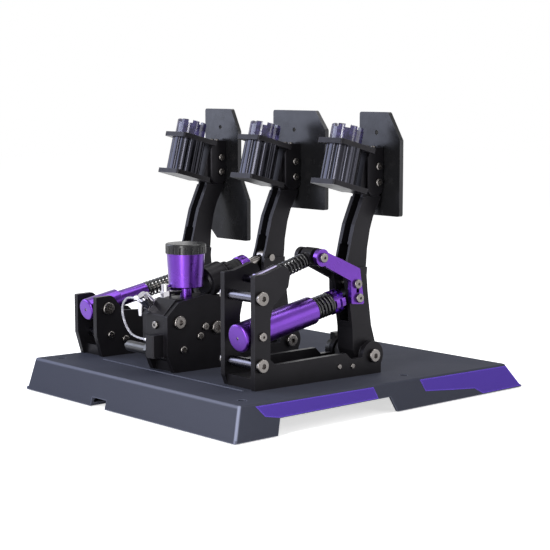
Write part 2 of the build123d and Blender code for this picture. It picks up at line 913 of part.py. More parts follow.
def make_arm(module_x, pin_share, extra_holes):
    """Dog-leg pedal arm, a bar with a channel milled along its rear edge."""
    half = arm_low_width / 2
    arm = rounded_slab(arm_outline(), module_x - half, module_x + half, arm_corner_radius)
    arm += bar_x(pivot_y, pivot_z, arm_hub_radius, module_x - half, module_x + half)
    bend = pivot_z + arm_bend_share * arm_height
    head_foot = pivot_z + adapter_top - adapter_height - running_clearance
    for side in (-1, 1):
        outer = module_x + side * (half + overrun)
        for width, foot in ((arm_high_width, bend), (arm_head_width, head_foot)):
            inner = module_x + side * width / 2
            low = (min(inner, outer), pivot_y - arm_height, foot)
            high = (max(inner, outer), pivot_y + arm_height, pivot_z + face_top)
            arm -= box_between(low, high)
    slot = arm_slot_low_width / 2
    arm -= slab(channel_outline(arm_slot_low_share, arm_slot_mid_share, arm_slot_low_depth),
                module_x - slot, module_x + slot)
    slot = arm_slot_high_width / 2
    arm -= slab(channel_outline(arm_slot_mid_share, arm_slot_top_share, arm_slot_high_depth),
                module_x - slot, module_x + slot)
    reach = half + overrun
    arm -= bar_x(pivot_y, pivot_z, bush_radius, module_x - reach, module_x + reach)
    for y, z, radius in [(*from_pivot(pin_share), eye_pin_radius), *extra_holes, *adapter_holes()]:
        arm -= bar_x(y, z, radius, module_x - reach, module_x + reach)
    return arm


def adapter_holes():
    y, z = pivot_y - adapter_bolt_back, pivot_z + arm_height - adapter_bolt_drop
    return [(y, z, small_shank_radius), (y, z + adapter_bolt_pitch, small_shank_radius)]


def make_bushes(module_x):
    """Two flanged bushes in the arm's hub, running on the pivot shaft."""
    bushes = []
    arm_half = arm_low_width / 2
    for side in (-1, 1):
        inner = module_reach(module_x, side) - plate_thickness - bush_flange_gap
        end = module_x + side * inner
        start = module_x + side * bush_middle_gap
        sleeve = bar_x(pivot_y, pivot_z, bush_radius, min(start, end), max(start, end))
        face = module_x + side * arm_half
        flange = bar_x(pivot_y, pivot_z, bush_flange_radius, min(face, end), max(face, end))
        bore = bar_x(pivot_y, pivot_z, shaft_radius + hole_clearance, *module_faces(module_x))
        bushes.append(sleeve + flange - bore)
    return bushes


def make_cross_pin(module_x, pin_share):
    """Plain pin across the arm that carries a rod eye."""
    y, z = from_pivot(pin_share)
    return bar_x(y, z, eye_pin_radius, module_x - arm_low_width / 2, module_x + arm_low_width / 2)


def make_adapter(module_x):
    """Slotted block that carries the face plate on the arm's head."""
    front = pivot_y - face_back
    rear = front + adapter_depth
    top = pivot_z + adapter_top
    low = top - adapter_height
    points = (
        (front, low), (front, top), (rear - adapter_top_run, top), (rear, top - adapter_top_fall),
        (rear, low),
    )
    block = slab(points, module_x - adapter_half_width, module_x + adapter_half_width)
    corners = block.edges().filter_by(Axis.X).group_by(Axis.Z)[0]
    block = fillet(corners, adapter_cheek_round)
    edges = block.edges().filter_by(Axis.Z).filter_by(lambda e: e.center().Y > rear - hole_clearance)
    block = chamfer(edges, adapter_edge_round)
    half = arm_head_width / 2
    block -= box_between(
        (module_x - half, front + adapter_web, low - overrun),
        (module_x + half, rear + overrun, top + overrun),
    )
    reach = adapter_half_width + overrun
    for y, z, radius in adapter_holes():
        block -= bar_x(y, z, radius, module_x - reach, module_x + reach)
    return block


def face_plate(module_x, outline, hole_z):
    """Thin face plate that stands across the pedal, with one hole near its top."""
    front = pivot_y - face_back - face_thickness
    sketch = make_face(Polyline(*outline, close=True))
    sketch = fillet(sketch.vertices(), face_thickness / 2)
    sketch -= Pos(0, hole_z) * Circle(face_hole_radius)
    plane = Plane(origin=(module_x, front, 0), x_dir=(1, 0, 0), z_dir=(0, -1, 0))
    plate = extrude(plane * sketch, amount=-face_thickness)
    return plate


def plain_face_outline(left, right, top_left, chamfer_height):
    """Face plate with a square right edge and a chamfered upper left corner."""
    top = pivot_z + face_top
    low = top - plain_face_height
    return ((-left, low), (right, low), (right, top), (-top_left, top), (-left, top - chamfer_height))


def throttle_face_outline():
    """Throttle plate: longer, flared at its lower left, cut away at its lower right."""
    top = pivot_z + face_top
    low = top - throttle_face_height
    flare_top = top - throttle_flare_drop
    return (
        (-throttle_face_flare, low), (throttle_toe_x, low),
        (throttle_face_right, low + throttle_toe_height), (throttle_face_right, top),
        (-throttle_face_top_left, top), (-throttle_face_left, top - throttle_face_chamfer),
        (-throttle_face_left, flare_top), (-throttle_face_flare, flare_top - throttle_flare_run),
    )


def make_head_bolts(module_x):
    """Adapter bolts through the arm's head and two small bracket screws on top."""
    bolts = []
    half = adapter_half_width
    for y, z, _ in adapter_holes():
        bolts.append(side_bolt(y, z, module_x - half, module_x + half, small=True))
    top = pivot_z + arm_height
    sizes = (top_screw_head_radius, small_head_height, top_screw_socket_radius, small_socket_depth)
    screw = button_head(*sizes)
    y = pivot_y - face_back + adapter_web + top_screw_back
    for side in (-1, 1):
        bolts.append(Pos(module_x + side * top_screw_spread, y, top) * screw)
    return bolts


def motor_place(module_x):
    return Pos(module_x, pivot_y + motor_back, pivot_z + motor_up) * Rot(motor_tilt, 0, 0)


def motor_reach():
    """Distance from the motor's axis to the arm's rear edge, which it runs along."""
    y, z = from_pivot(arm_rear_shares[0])
    tilt = radians(motor_tilt)
    return (pivot_y + motor_back - y) * cos(tilt) + (pivot_z + motor_up - z) * sin(tilt)


def make_motor_bracket(module_x):
    """Bracket with two flanges that hold the motor, standing on the arm's rear edge."""
    half = motor_height / 2
    front = -motor_reach()
    shape = box_between((-web_half_width, front, -half - flange_thickness),
                        (web_half_width, front + web_thickness, half + flange_thickness))
    for low in (-half - flange_thickness, half):
        flange = box_between((-flange_half_width, front + web_thickness, low),
                             (flange_half_width, flange_rear, low + flange_thickness))
        rear = flange.edges().filter_by(Axis.Z).group_by(Axis.Y)[-1]
        shape += fillet(rear, flange_round)
    shape -= bar_z(crown_seat_radius, half - overrun, half + flange_thickness + overrun)
    return motor_place(module_x) * shape


def make_motor(module_x):
    """Fluted motor can with a stepped boss that fills the bracket's upper bore."""
    half = motor_height / 2
    can = bar_z(motor_radius, -half, half)
    for index in range(motor_flutes):
        angle = radians(360 * index / motor_flutes)
        place = Pos(motor_radius * cos(angle), motor_radius * sin(angle), 0)
        can -= place * bar_z(motor_flute_radius, -half - overrun, half + overrun)
    can += bar_z(crown_seat_radius - hole_clearance, half, half + flange_thickness)
    return motor_place(module_x) * can


def make_crown(module_x):
    """Castellated translucent crown on the motor."""
    low = motor_height / 2 + flange_thickness
    ring = bar_z(crown_radius, low, low + crown_height)
    ring = chamfer(ring.edges().group_by(Axis.Z)[-1], crown_rim_chamfer)
    ring -= bar_z(crown_radius - crown_wall, low + crown_floor, low + crown_height + overrun)
    ring -= bar_z(crown_bore_radius, low - overrun, low + crown_height)
    notch_low = low + crown_height - crown_notch_depth
    for index in range(crown_notches // 2):
        bar = box_between(
            (-crown_notch_width / 2, -crown_radius - overrun, notch_low),
            (crown_notch_width / 2, crown_radius + overrun, low + crown_height + overrun),
        )
        ring -= Rot(0, 0, 360 * index / crown_notches) * bar
    return motor_place(module_x) * ring


def make_link(module_x, side):
    """L-shaped link plate on one side of the clutch arm."""
    inner = module_x + side * arm_low_width / 2
    outer = inner + side * link_thickness
    low, high = min(inner, outer), max(inner, outer)
    link = rounded_slab([from_pivot(share) for share in link_shares], low, high, link_round)
    eye_y, eye_z = from_pivot(link_eye_share)
    link += bar_x(eye_y, eye_z, link_end_radius, low, high)
    for y, z in (from_pivot(link_eye_share), from_pivot(link_bolt_share), from_pivot(clutch_pin_share)):
        link -= bar_x(y, z, link_screw_shank, low - overrun, high + overrun)
    slot_y = (from_pivot(link_bolt_share)[0] + from_pivot(clutch_pin_share)[0]) / 2
    link -= box_between(
        (low - overrun, slot_y - link_slot_width / 2, pivot_z + link_slot_low_share * arm_height),
        (high + overrun, slot_y + link_slot_width / 2, pivot_z + link_slot_high_share * arm_height),
    )
    return link


def make_link_screws(module_x):
    """Bolts that clamp the links to the arm and carry the assist eye."""
    half = arm_low_width / 2 + link_thickness
    screws = []
    sizes = (link_screw_head_radius, link_screw_head_height, small_socket_radius, small_socket_depth)
    head = button_head(*sizes)
    for share in (link_eye_share, link_bolt_share, clutch_pin_share):
        y, z = from_pivot(share)
        screw = bar_x(y, z, link_screw_shank, module_x - half, module_x + half)
        for side in (-1, 1):
            screw += Plane(origin=(module_x + side * half, y, z), z_dir=(side, 0, 0)).location * head
        screws.append(screw)
    return screws


def rod_eye(reach, radius, half_width, bore):
    """Eye at the end of a rod on the local Z axis."""
    eye = bar_x(0, 0, radius, -half_width, half_width)
    return Pos(0, 0, reach) * (eye - bar_x(0, 0, bore, -half_width - overrun, half_width + overrun))


def damper_cap(radius, rear):
    """Domed cap that closes the rear end of a damper barrel."""
    cap = bar_z(radius, -rear, -rear + damper_cap_length)
    cap = fillet(cap.edges().group_by(Axis.Z)[0], damper_cap_dome)
    return cap - bar_z(damper_cap_hole, -rear - overrun, -rear + damper_cap_length / 2)


def pivot_pockets(barrel_radius, screw_radius):
    """Blind side holes in a barrel for its pivot screws."""
    inner = barrel_radius - pivot_screw_reach
    radius = screw_radius + hole_clearance
    left = bar_x(0, 0, radius, -barrel_radius - overrun, -inner)
    right = bar_x(0, 0, radius, inner, barrel_radius + overrun)
    return left + right


def make_pivot_screws():
    """Screws in the side plates on which the damper barrels swing."""
    clutch_x, _, throttle_x = module_places()
    screws = []
    small = (pivot_screw_radius, pivot_screw_head_radius, small_head_height)
    large = (bolt_shank_radius, bolt_head_radius, bolt_head_height)
    for x, place, barrel, sizes in (
        (clutch_x, clutch_damper_pivot, damper_radius, small),
        (throttle_x, throttle_damper_pivot, throttle_damper_radius, large),
    ):
        for side in (-1, 1):
            face = x + side * module_reach(x, side)
            tip = x + side * (barrel - pivot_screw_reach + hole_clearance * 2)
            screws.append(side_screw(*place, face, tip, *sizes))
    return screws


def clutch_damper_plane():
    return strut_plane(module_places()[0], clutch_damper_pivot, from_pivot(clutch_pin_share))


def clutch_damper_length():
    return dist(clutch_damper_pivot, from_pivot(clutch_pin_share))


def make_clutch_barrel():
    barrel = bar_z(damper_radius, -damper_rear + damper_cap_length, damper_front)
    barrel = chamfer(barrel.edges().group_by(Axis.Z)[-1], damper_nose_chamfer)
    barrel -= bar_z(rod_radius + rod_bore_clearance, damper_rear / 2, damper_front + overrun)
    barrel -= pivot_pockets(damper_radius, pivot_screw_radius)
    return clutch_damper_plane().location * barrel


def make_clutch_rod():
    length = clutch_damper_length()
    rod = bar_z(rod_radius, damper_front - rod_tail, length - eye_radius / 2)
    rod += rod_eye(length, eye_radius, eye_half_width, link_screw_shank + eye_play)
    rod -= Pos(0, 0, length) * bar_x(0, 0, link_screw_shank + eye_play, -eye_radius, eye_radius)
    return clutch_damper_plane().location * rod


def make_clutch_spring():
    low = damper_front + running_clearance
    high = clutch_damper_length() - ring_back - ring_length - running_clearance
    sizes = (clutch_spring_radius, clutch_spring_wire, clutch_spring_turns)
    return clutch_damper_plane().location * coil_spring("clutch_spring", *sizes, low, high)


def make_clutch_ring():
    """Notched preload ring on the rod, two flanges with a groove between them."""
    high = clutch_damper_length() - ring_back
    low = high - ring_length
    ring = bar_z(ring_radius, low, high)
    middle = (low + high) / 2
    groove = bar_z(ring_radius + overrun, middle - ring_groove_width / 2, middle + ring_groove_width / 2)
    ring -= groove - bar_z(ring_radius - ring_groove_depth, low, high)
    core = bar_z(ring_radius - ring_notch_depth, low - overrun * 2, high + overrun * 2)
    for index in range(ring_notches // 2):
        bar = box_between(
            (-ring_notch_width / 2, -ring_radius - overrun, low - overrun),
            (ring_notch_width / 2, ring_radius + overrun, high + overrun),
        )
        ring -= Rot(0, 0, 360 * index / ring_notches) * (bar - core)
    ring -= bar_z(rod_radius + hole_clearance, low - overrun, high + overrun)
    return clutch_damper_plane().location * ring


def assist_plane():
    return strut_plane(module_places()[0], assist_pivot, from_pivot(link_eye_share))


def assist_length():
    return dist(assist_pivot, from_pivot(link_eye_share))


def pin_inset():
    """Distance from a plate's outer face to the end of the assist barrel's pin."""
    return plate_thickness - assist_pin_depth + running_clearance


def make_assist_barrel():
    """Short barrel with two stub pins that turn in the clutch side plates."""
    barrel = bar_z(assist_barrel_radius, -assist_barrel_rear, assist_barrel_front)
    barrel = chamfer(barrel.edges().group_by(Axis.Z)[0], damper_nose_chamfer)
    ends = [face - assist_plane().origin.X for face in module_faces(module_places()[0], pin_inset())]
    barrel += bar_x(0, 0, bolt_shank_radius, *ends)
    barrel -= bar_z(assist_rod_radius + rod_bore_clearance, -assist_barrel_rear - overrun,
                    assist_barrel_front + overrun)
    return assist_plane().location * barrel


def make_assist_rod():
    length = assist_length()
    bore = link_screw_shank + eye_play + hole_clearance
    rod = bar_z(assist_rod_radius, running_clearance, length - assist_eye_radius / 2)
    rod += rod_eye(length, assist_eye_radius, assist_eye_half, bore)
    collar_high = length - assist_collar_back + assist_collar_length
    rod += bar_z(assist_collar_radius, length - assist_collar_back, collar_high)
    rod -= Pos(0, 0, length) * bar_x(0, 0, bore, -assist_eye_radius, assist_eye_radius)
    return assist_plane().location * rod


def make_assist_spring():
    low = assist_barrel_front + running_clearance
    high = assist_length() - assist_collar_back - running_clearance
    sizes = (assist_spring_radius, assist_spring_wire, assist_spring_turns)
    return assist_plane().location * coil_spring("assist_spring", *sizes, low, high)


def throttle_plane():
    return strut_plane(module_places()[2], throttle_damper_pivot, from_pivot(throttle_pin_share))


def throttle_length():
    return dist(throttle_damper_pivot, from_pivot(throttle_pin_share))


def make_throttle_barrel():
    """Stepped damper barrel: a wide body and a narrower neck."""
    body = bar_z(throttle_damper_radius, -throttle_damper_rear + damper_cap_length, throttle_damper_front)
    body = chamfer(body.edges().group_by(Axis.Z)[-1], damper_nose_chamfer)
    neck = bar_z(throttle_neck_radius, throttle_damper_front, throttle_neck_front)
    neck = chamfer(neck.edges().group_by(Axis.Z)[-1], damper_nose_chamfer)
    barrel = body + neck
    barrel -= bar_z(rod_radius + rod_bore_clearance, damper_rear / 2, throttle_neck_front + overrun)
    barrel -= pivot_pockets(throttle_damper_radius, bolt_shank_radius)
    return throttle_plane().location * barrel


def make_throttle_rod():
    """Rod with its spring collar and eye."""
    length = throttle_length()
    rod = bar_z(rod_radius, throttle_neck_front - rod_tail, length - eye_radius / 2)
    rod += rod_eye(length, eye_radius, eye_half_width, eye_pin_radius + eye_play)
    collar_low = length - throttle_collar_back
    rod += bar_z(throttle_collar_radius, collar_low, collar_low + throttle_collar_length)
    rod -= Pos(0, 0, length) * bar_x(0, 0, eye_pin_radius + eye_play, -eye_radius, eye_radius)
    return throttle_plane().location * rod


def make_throttle_spring():
    low = throttle_neck_front + running_clearance
    high = throttle_length() - throttle_collar_back - running_clearance
    sizes = (throttle_spring_radius, throttle_spring_wire, throttle_spring_turns)
    return throttle_plane().location * coil_spring("throttle_spring", *sizes, low, high)


def brake_plane():
    return strut_plane(brake_x, brake_axis_rear, from_pivot(brake_pin_share))


def brake_length():
    return dist(brake_axis_rear, from_pivot(brake_pin_share))


def make_brake_block():
    """Cylinder block between the brake side plates, with a sloping rear shoulder."""
    half = module_half_width - plate_thickness - rail_clearance
    points = (
        (block_rear, block_low + block_chamfer_run / 2), (block_rear, block_rear_top),
        (block_rear - block_chamfer_run, block_top), (block_front, block_top),
        (block_front, block_low + block_chamfer_run / 2),
        (block_front + block_chamfer_run / 2, block_low + overrun * 2),
        (block_rear - block_chamfer_run / 2, block_low + overrun * 2),
    )
    block = rounded_slab(points, brake_x - half, brake_x + half, plate_corner_radius)
    block += make_rear_port()
    block -= brake_plane().location * bar_z(cylinder_radius, cylinder_rear, brake_length())
    block -= brake_plane().location * bar_z(collar_radius, collar_rear, collar_front + overrun)
    for y, z, radius in brake_holes():
        block -= bar_x(y, z, radius, brake_x - half - overrun, brake_x + half + overrun)
    return block - block_bolt_plane().location * bar_z(small_shank_radius, -rear_bolt_reach, overrun)


def make_cylinder():
    """Brake cylinder on the pedal's thrust line, with a lip at its mouth."""
    tube = bar_z(cylinder_radius, cylinder_rear, cylinder_front)
    tube = chamfer(tube.edges().group_by(Axis.Z)[0], cylinder_lip)
    collar = bar_z(collar_radius, collar_rear, collar_front)
    tube += chamfer(collar.edges().group_by(Axis.Z)[-1], cylinder_lip)
    groove_low = cylinder_front - cylinder_groove_back
    groove = bar_z(cylinder_radius + overrun, groove_low, groove_low + cylinder_groove_width)
    tube -= groove - bar_z(cylinder_radius - cylinder_groove_depth, cylinder_rear, cylinder_front)
    bore_low = cylinder_front - brake_rod_bore
    tube -= bar_z(brake_rod_radius + rod_bore_clearance, bore_low, cylinder_front + overrun)
    return brake_plane().location * tube


def make_elastomer():
    """Grooved rubber spring between the cylinder and the preload wheel."""
    low = cylinder_front + elastomer_gap
    high = low + elastomer_length
    rubber = bar_z(elastomer_radius, low, high)
    for index in range(elastomer_grooves):
        middle = low + elastomer_length * (index + 1) / (elastomer_grooves + 1)
        cut = bar_z(elastomer_radius + overrun, middle - elastomer_groove_width / 2,
                    middle + elastomer_groove_width / 2)
        rubber -= cut - bar_z(elastomer_radius - elastomer_groove_depth, low, high)
    rubber -= bar_z(brake_rod_radius + rod_bore_clearance, low - overrun, high + overrun)
    return brake_plane().location * rubber


def wheel_low():
    return cylinder_front + elastomer_gap * 2 + elastomer_length


def make_preload_wheel():
    """Scalloped preload wheel on the brake rod."""
    low = wheel_low()
    wheel = bar_z(wheel_radius, low, low + wheel_length)
    rims = wheel.edges().group_by(Axis.Z)
    wheel = chamfer(rims[0] + rims[-1], damper_nose_chamfer)
    for index in range(wheel_scallops):
        angle = radians(360 * index / wheel_scallops)
        reach = wheel_radius + wheel_scallop_radius / 2
        place = Pos(reach * cos(angle), reach * sin(angle), 0)
        wheel -= place * bar_z(wheel_scallop_radius, low - overrun, low + wheel_length + overrun)
    wheel -= bar_z(brake_rod_radius + hole_clearance, low - overrun, low + wheel_length + overrun)
    return brake_plane().location * wheel


def make_brake_rod():
    length = brake_length()
    rod = bar_z(brake_rod_radius, cylinder_front - brake_rod_bore / 2, length - eye_radius / 2)
    rod += rod_eye(length, eye_radius, eye_half_width, eye_pin_radius + eye_play)
    rod -= Pos(0, 0, length) * bar_x(0, 0, eye_pin_radius + eye_play, -eye_radius, eye_radius)
    return brake_plane().location * rod


def make_reservoir():
    """Tapered fluid reservoir with its neck standing on the cylinder block."""
    cup = loft([
        Pos(0, 0, reservoir_bottom) * Circle(reservoir_low_radius),
        Pos(0, 0, reservoir_top) * Circle(reservoir_top_radius),
    ])
    cup = fillet(cup.edges().group_by(Axis.Z)[0], cap_top_round)
    cup += bar_z(neck_radius, block_top, reservoir_bottom + overrun)
    cup -= bar_z(reservoir_mouth_radius, reservoir_top - reservoir_mouth_depth, reservoir_top + overrun)
    return Pos(brake_x, reservoir_y, 0) * cup


def make_reservoir_cap():
    """Ribbed screw cap with a plug that fills the reservoir's mouth."""
    cap = bar_z(cap_radius, reservoir_top + cap_gap, reservoir_top + cap_height)
    cap = fillet(cap.edges().group_by(Axis.Z)[-1], cap_top_round)
    rib = bar_z(cap_rib_radius, reservoir_top - overrun, reservoir_top + cap_height - cap_top_round * 2)
    for index in range(cap_ribs):
        angle = radians(360 * index / cap_ribs)
        cap -= Pos(cap_radius * cos(angle), cap_radius * sin(angle), 0) * rib
    cap += bar_z(reservoir_mouth_radius - running_clearance,
                 reservoir_top - reservoir_mouth_depth + running_clearance, reservoir_top + cap_gap)
    return Pos(brake_x, reservoir_y, 0) * cap


def shoulder_plane():
    """Plane on the block's sloping rear shoulder, with its Z axis off the slope."""
    run, fall = block_chamfer_run, block_top - block_rear_top
    y = block_rear - block_chamfer_run * (1 - shoulder_union_share)
    z = block_top - fall * shoulder_union_share
    return Plane(origin=(brake_x + shoulder_union_x, y, z), x_dir=(1, 0, 0), z_dir=(0, fall, run))


def banjo_middle():
    plane = shoulder_plane()
    return plane.origin + plane.z_dir * ((banjo_low + banjo_high) / 2)


def make_shoulder_union():
    """Banjo union on the shoulder: post, nut, outlet to the hose and a bleed nipple."""
    post = bar_z(union_post_radius, 0, union_post_length) + bar_z(banjo_radius, banjo_low, banjo_high)
    post += Pos(0, 0, union_nut_low) * extrude(RegularPolygon(union_nut_radius, 6), amount=union_nut_high)
    union = shoulder_plane().location * post
    middle = banjo_middle()
    union += bar_x(middle.Y, middle.Z, union_stub_radius, middle.X, middle.X + outlet_length)
    hanging = (Align.CENTER, Align.CENTER, Align.MAX)
    bleed = Cone(bleed_tip_radius, bleed_radius, bleed_length, align=hanging)
    union += Pos(middle.X + bleed_radius, middle.Y + banjo_radius / 2, middle.Z) * bleed
    return union


def make_neck_union():
    """Union beside the reservoir, piped to the reservoir's neck."""
    x, y = brake_x + neck_union_x, neck_union_y
    post = extrude(RegularPolygon(neck_union_radius, 6), amount=neck_union_height / 2)
    post += bar_z(neck_union_top_radius, 0, neck_union_height)
    union = Pos(x, y, block_top) * post
    height = block_top + neck_pipe_height
    aim = Vector(brake_x - x, reservoir_y - y, 0)
    pipe = bar_z(union_stub_radius, 0, aim.length - neck_radius / 2)
    return union + Plane(origin=(x, y, height), z_dir=aim).location * pipe - make_reservoir()


def port_middle():
    return Vector(brake_x + rear_port_x, block_rear + rear_port_depth / 2, rear_port_z)


def make_rear_port():
    """Boss on the block's rear face that takes the hose and the pressure sensor."""
    middle = port_middle()
    half = rear_port_half
    low = (middle.X - half, block_rear - overrun, middle.Z - half - sensor_drop)
    high = (middle.X + half, block_rear + rear_port_depth, middle.Z + half)
    port = box_between(low, high)
    return chamfer(port.edges().filter_by(Axis.Z).group_by(Axis.Y)[-1], rear_port_chamfer)


def make_port_union():
    """Small nut and stub that join the hose to the rear boss."""
    nut = extrude(RegularPolygon(port_nut_radius, 6), amount=port_nut_length)
    face = port_middle() + Vector(rear_port_half, 0, 0)
    plane = Plane(origin=face, x_dir=(0, 1, 0), z_dir=(1, 0, 0))
    return plane.location * (nut + bar_z(port_stub_radius, 0, port_outlet_length))


def make_unions():
    return [make_shoulder_union(), make_neck_union(), make_port_union()]


def make_pressure_sensor():
    """Pressure sensor screwed into the side of the rear port."""
    middle = port_middle()
    start = middle.X + rear_port_half
    tube = bar_z(sensor_tube_radius, 0, sensor_tube_length)
    tube = fillet(tube.edges().group_by(Axis.Z)[-1], head_round)
    tube += extrude(RegularPolygon(sensor_nut_radius, 6), amount=sensor_nut_length)
    tube += bar_z(sensor_lead_radius, 0, sensor_tube_length + sensor_nut_length)
    origin = (start, middle.Y, middle.Z - sensor_drop)
    return Plane(origin=origin, x_dir=(0, 1, 0), z_dir=(1, 0, 0)).location * tube


def hose_route():
    """Points of the brake hose, from the shoulder union down to the rear port."""
    start = banjo_middle() + Vector(outlet_length, 0, 0)
    end = port_middle() + Vector(rear_port_half + port_outlet_length, 0, 0)
    middle = [(brake_x + x, y, z) for x, y, z in hose_route_middle]
    before_end = end + Vector(hose_port_run, 0, 0)
    after_start = start + Vector(hose_outlet_run, 0, 0)
    points = [end, before_end, *[Vector(*p) for p in middle], after_start, start]
    return [(p.X, p.Y, p.Z) for p in points]


def bend_radii(points):
    """Radius of each bend, as large as its two runs allow."""
    radii = []
    for before, here, after in zip(points, points[1:], points[2:]):
        run_in, run_out = Vector(*here) - Vector(*before), Vector(*after) - Vector(*here)
        turn = radians(run_in.get_angle(run_out))
        radii.append(hose_bend_share * min(run_in.length, run_out.length) / tan(turn / 2))
    return radii


def make_hose():
    points = hose_route()
    radii = bend_radii(points)
    print("brake_hose bend radii", [round(r, 1) for r in radii])
    path = FilletPolyline(*points, radius=radii)
    first = Vector(*points[1]) - Vector(*points[0])
    hose = sweep(Plane(origin=points[0], z_dir=first) * Circle(hose_radius), path=path)
    print("brake_hose length", round(path.length, 1), "volume share",
          round(hose.volume / (pi * hose_radius ** 2 * path.length), 3))
    return hose


def make_parts():
    """All sub-parts by name, each a list of solids."""
    clutch_x, middle_x, throttle_x = module_places()
    parts = {
        "base_tray": [make_tray()],
        "foot_pads": make_foot_pads(),
        "module_rails": [make_rail(x) for x in (clutch_x, middle_x, throttle_x)],
        "frame_spacers": make_spacers(),
        "frame_bolts": make_frame_bolts(),
        "pivot_shafts": make_pivot_shafts(),
        "position_sensors": make_sensors(),
    }
    rear_inset = clutch_rear_share * frame_length
    low_inset = far_chamfer_depth / 2
    for name, x, shares, height, foot_inset, holes in (
        ("clutch", clutch_x, clutch_plate_shares, clutch_frame_height, rear_inset, clutch_holes()),
        ("brake", middle_x, brake_plate_shares, brake_frame_height, low_inset, brake_holes()),
        ("throttle", throttle_x, throttle_plate_shares, throttle_frame_height, low_inset, throttle_holes()),
    ):
        plates = []
        for side in (-1, 1):
            pockets = clutch_pockets(side) if name == "clutch" else []
            chamfered = side == 1 and name == "clutch"
            plates.append(make_side_plate(x, side, shares, height, foot_inset, holes, pockets, chamfered))
        parts[f"{name}_side_plates"] = plates
    clutch_extra = [(*from_pivot(link_bolt_share), link_screw_shank)]
    clutch_outline = plain_face_outline(
        clutch_face_left, clutch_face_right, clutch_face_top_left, clutch_face_chamfer
    )
    brake_outline = plain_face_outline(
        brake_face_left, brake_face_right, brake_face_top_left, brake_face_chamfer
    )
    for name, x, pin_share, extra, outline in (
        ("clutch", clutch_x, clutch_pin_share, clutch_extra, clutch_outline),
        ("brake", middle_x, brake_pin_share, [], brake_outline),
        ("throttle", throttle_x, throttle_pin_share, [], throttle_face_outline()),
    ):
        parts[f"{name}_arm"] = [make_arm(x, pin_share, extra)]
        parts[f"{name}_bushes"] = make_bushes(x)
        parts[f"{name}_adapter"] = [make_adapter(x)]
        parts[f"{name}_face"] = [face_plate(x, outline, pivot_z + face_top - face_hole_drop)]
        parts[f"{name}_arm_bolts"] = make_head_bolts(x)
        parts[f"{name}_motor_bracket"] = [make_motor_bracket(x)]
        parts[f"{name}_motor"] = [make_motor(x)]
        parts[f"{name}_motor_crown"] = [make_crown(x)]
    parts["brake_arm_bolts"].append(make_cross_pin(middle_x, brake_pin_share))
    parts["throttle_arm_bolts"].append(make_cross_pin(throttle_x, throttle_pin_share))
    parts["clutch_left_link"] = [make_link(clutch_x, -1)]
    parts["clutch_right_link"] = [make_link(clutch_x, 1)]
    parts["clutch_link_bolts"] = make_link_screws(clutch_x)
    parts["clutch_damper_barrel"] = [make_clutch_barrel()]
    parts["clutch_damper_cap"] = [clutch_damper_plane().location * damper_cap(damper_radius, damper_rear)]
    parts["clutch_damper_rod"] = [make_clutch_rod()]
    parts["clutch_preload_ring"] = [make_clutch_ring()]
    parts["clutch_spring"] = [make_clutch_spring()]
    parts["assist_barrel"] = [make_assist_barrel()]
    parts["assist_rod"] = [make_assist_rod()]
    parts["assist_spring"] = [make_assist_spring()]
    parts["throttle_damper_barrel"] = [make_throttle_barrel()]
    cap = damper_cap(throttle_damper_radius, throttle_damper_rear)
    parts["throttle_damper_cap"] = [throttle_plane().location * cap]
    parts["throttle_damper_rod"] = [make_throttle_rod()]
    parts["throttle_spring"] = [make_throttle_spring()]
    parts["brake_block"] = [make_brake_block()]
    parts["brake_cylinder"] = [make_cylinder()]
    parts["brake_elastomer"] = [make_elastomer()]
    parts["brake_preload_wheel"] = [make_preload_wheel()]
    parts["brake_push_rod"] = [make_brake_rod()]
    parts["fluid_reservoir"] = [make_reservoir()]
    parts["reservoir_cap"] = [make_reservoir_cap()]
    parts["hose_unions"] = make_unions()
    parts["pressure_sensor"] = [make_pressure_sensor()]
    parts["brake_hose"] = [make_hose()]
    return parts


def main():
    os.makedirs("parts", exist_ok=True)
    for name, solids in make_parts().items():
        pieces = [Pos(-box_middle_x(), 0, 0) * solid for group in solids for solid in group.solids()]
        whole = pieces[0]
        if len(pieces) > 1:
            whole = Compound(children=[Part(piece.wrapped) for piece in pieces])
        export_step(whole, f"parts/{name}.step")
        print(name, len(pieces))


main()
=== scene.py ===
"""Finishes, light and view of a sim racing pedal set on its folded tray.

Every object is in metres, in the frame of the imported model: +X is the driver's
right, +Y is the way the pedals are pushed, +Z is up.
"""
import logging
from dataclasses import dataclass, field
from enum import Enum
from math import cos, pi, radians, sin, tau

import bmesh
import bpy
from mathutils import Matrix, Vector


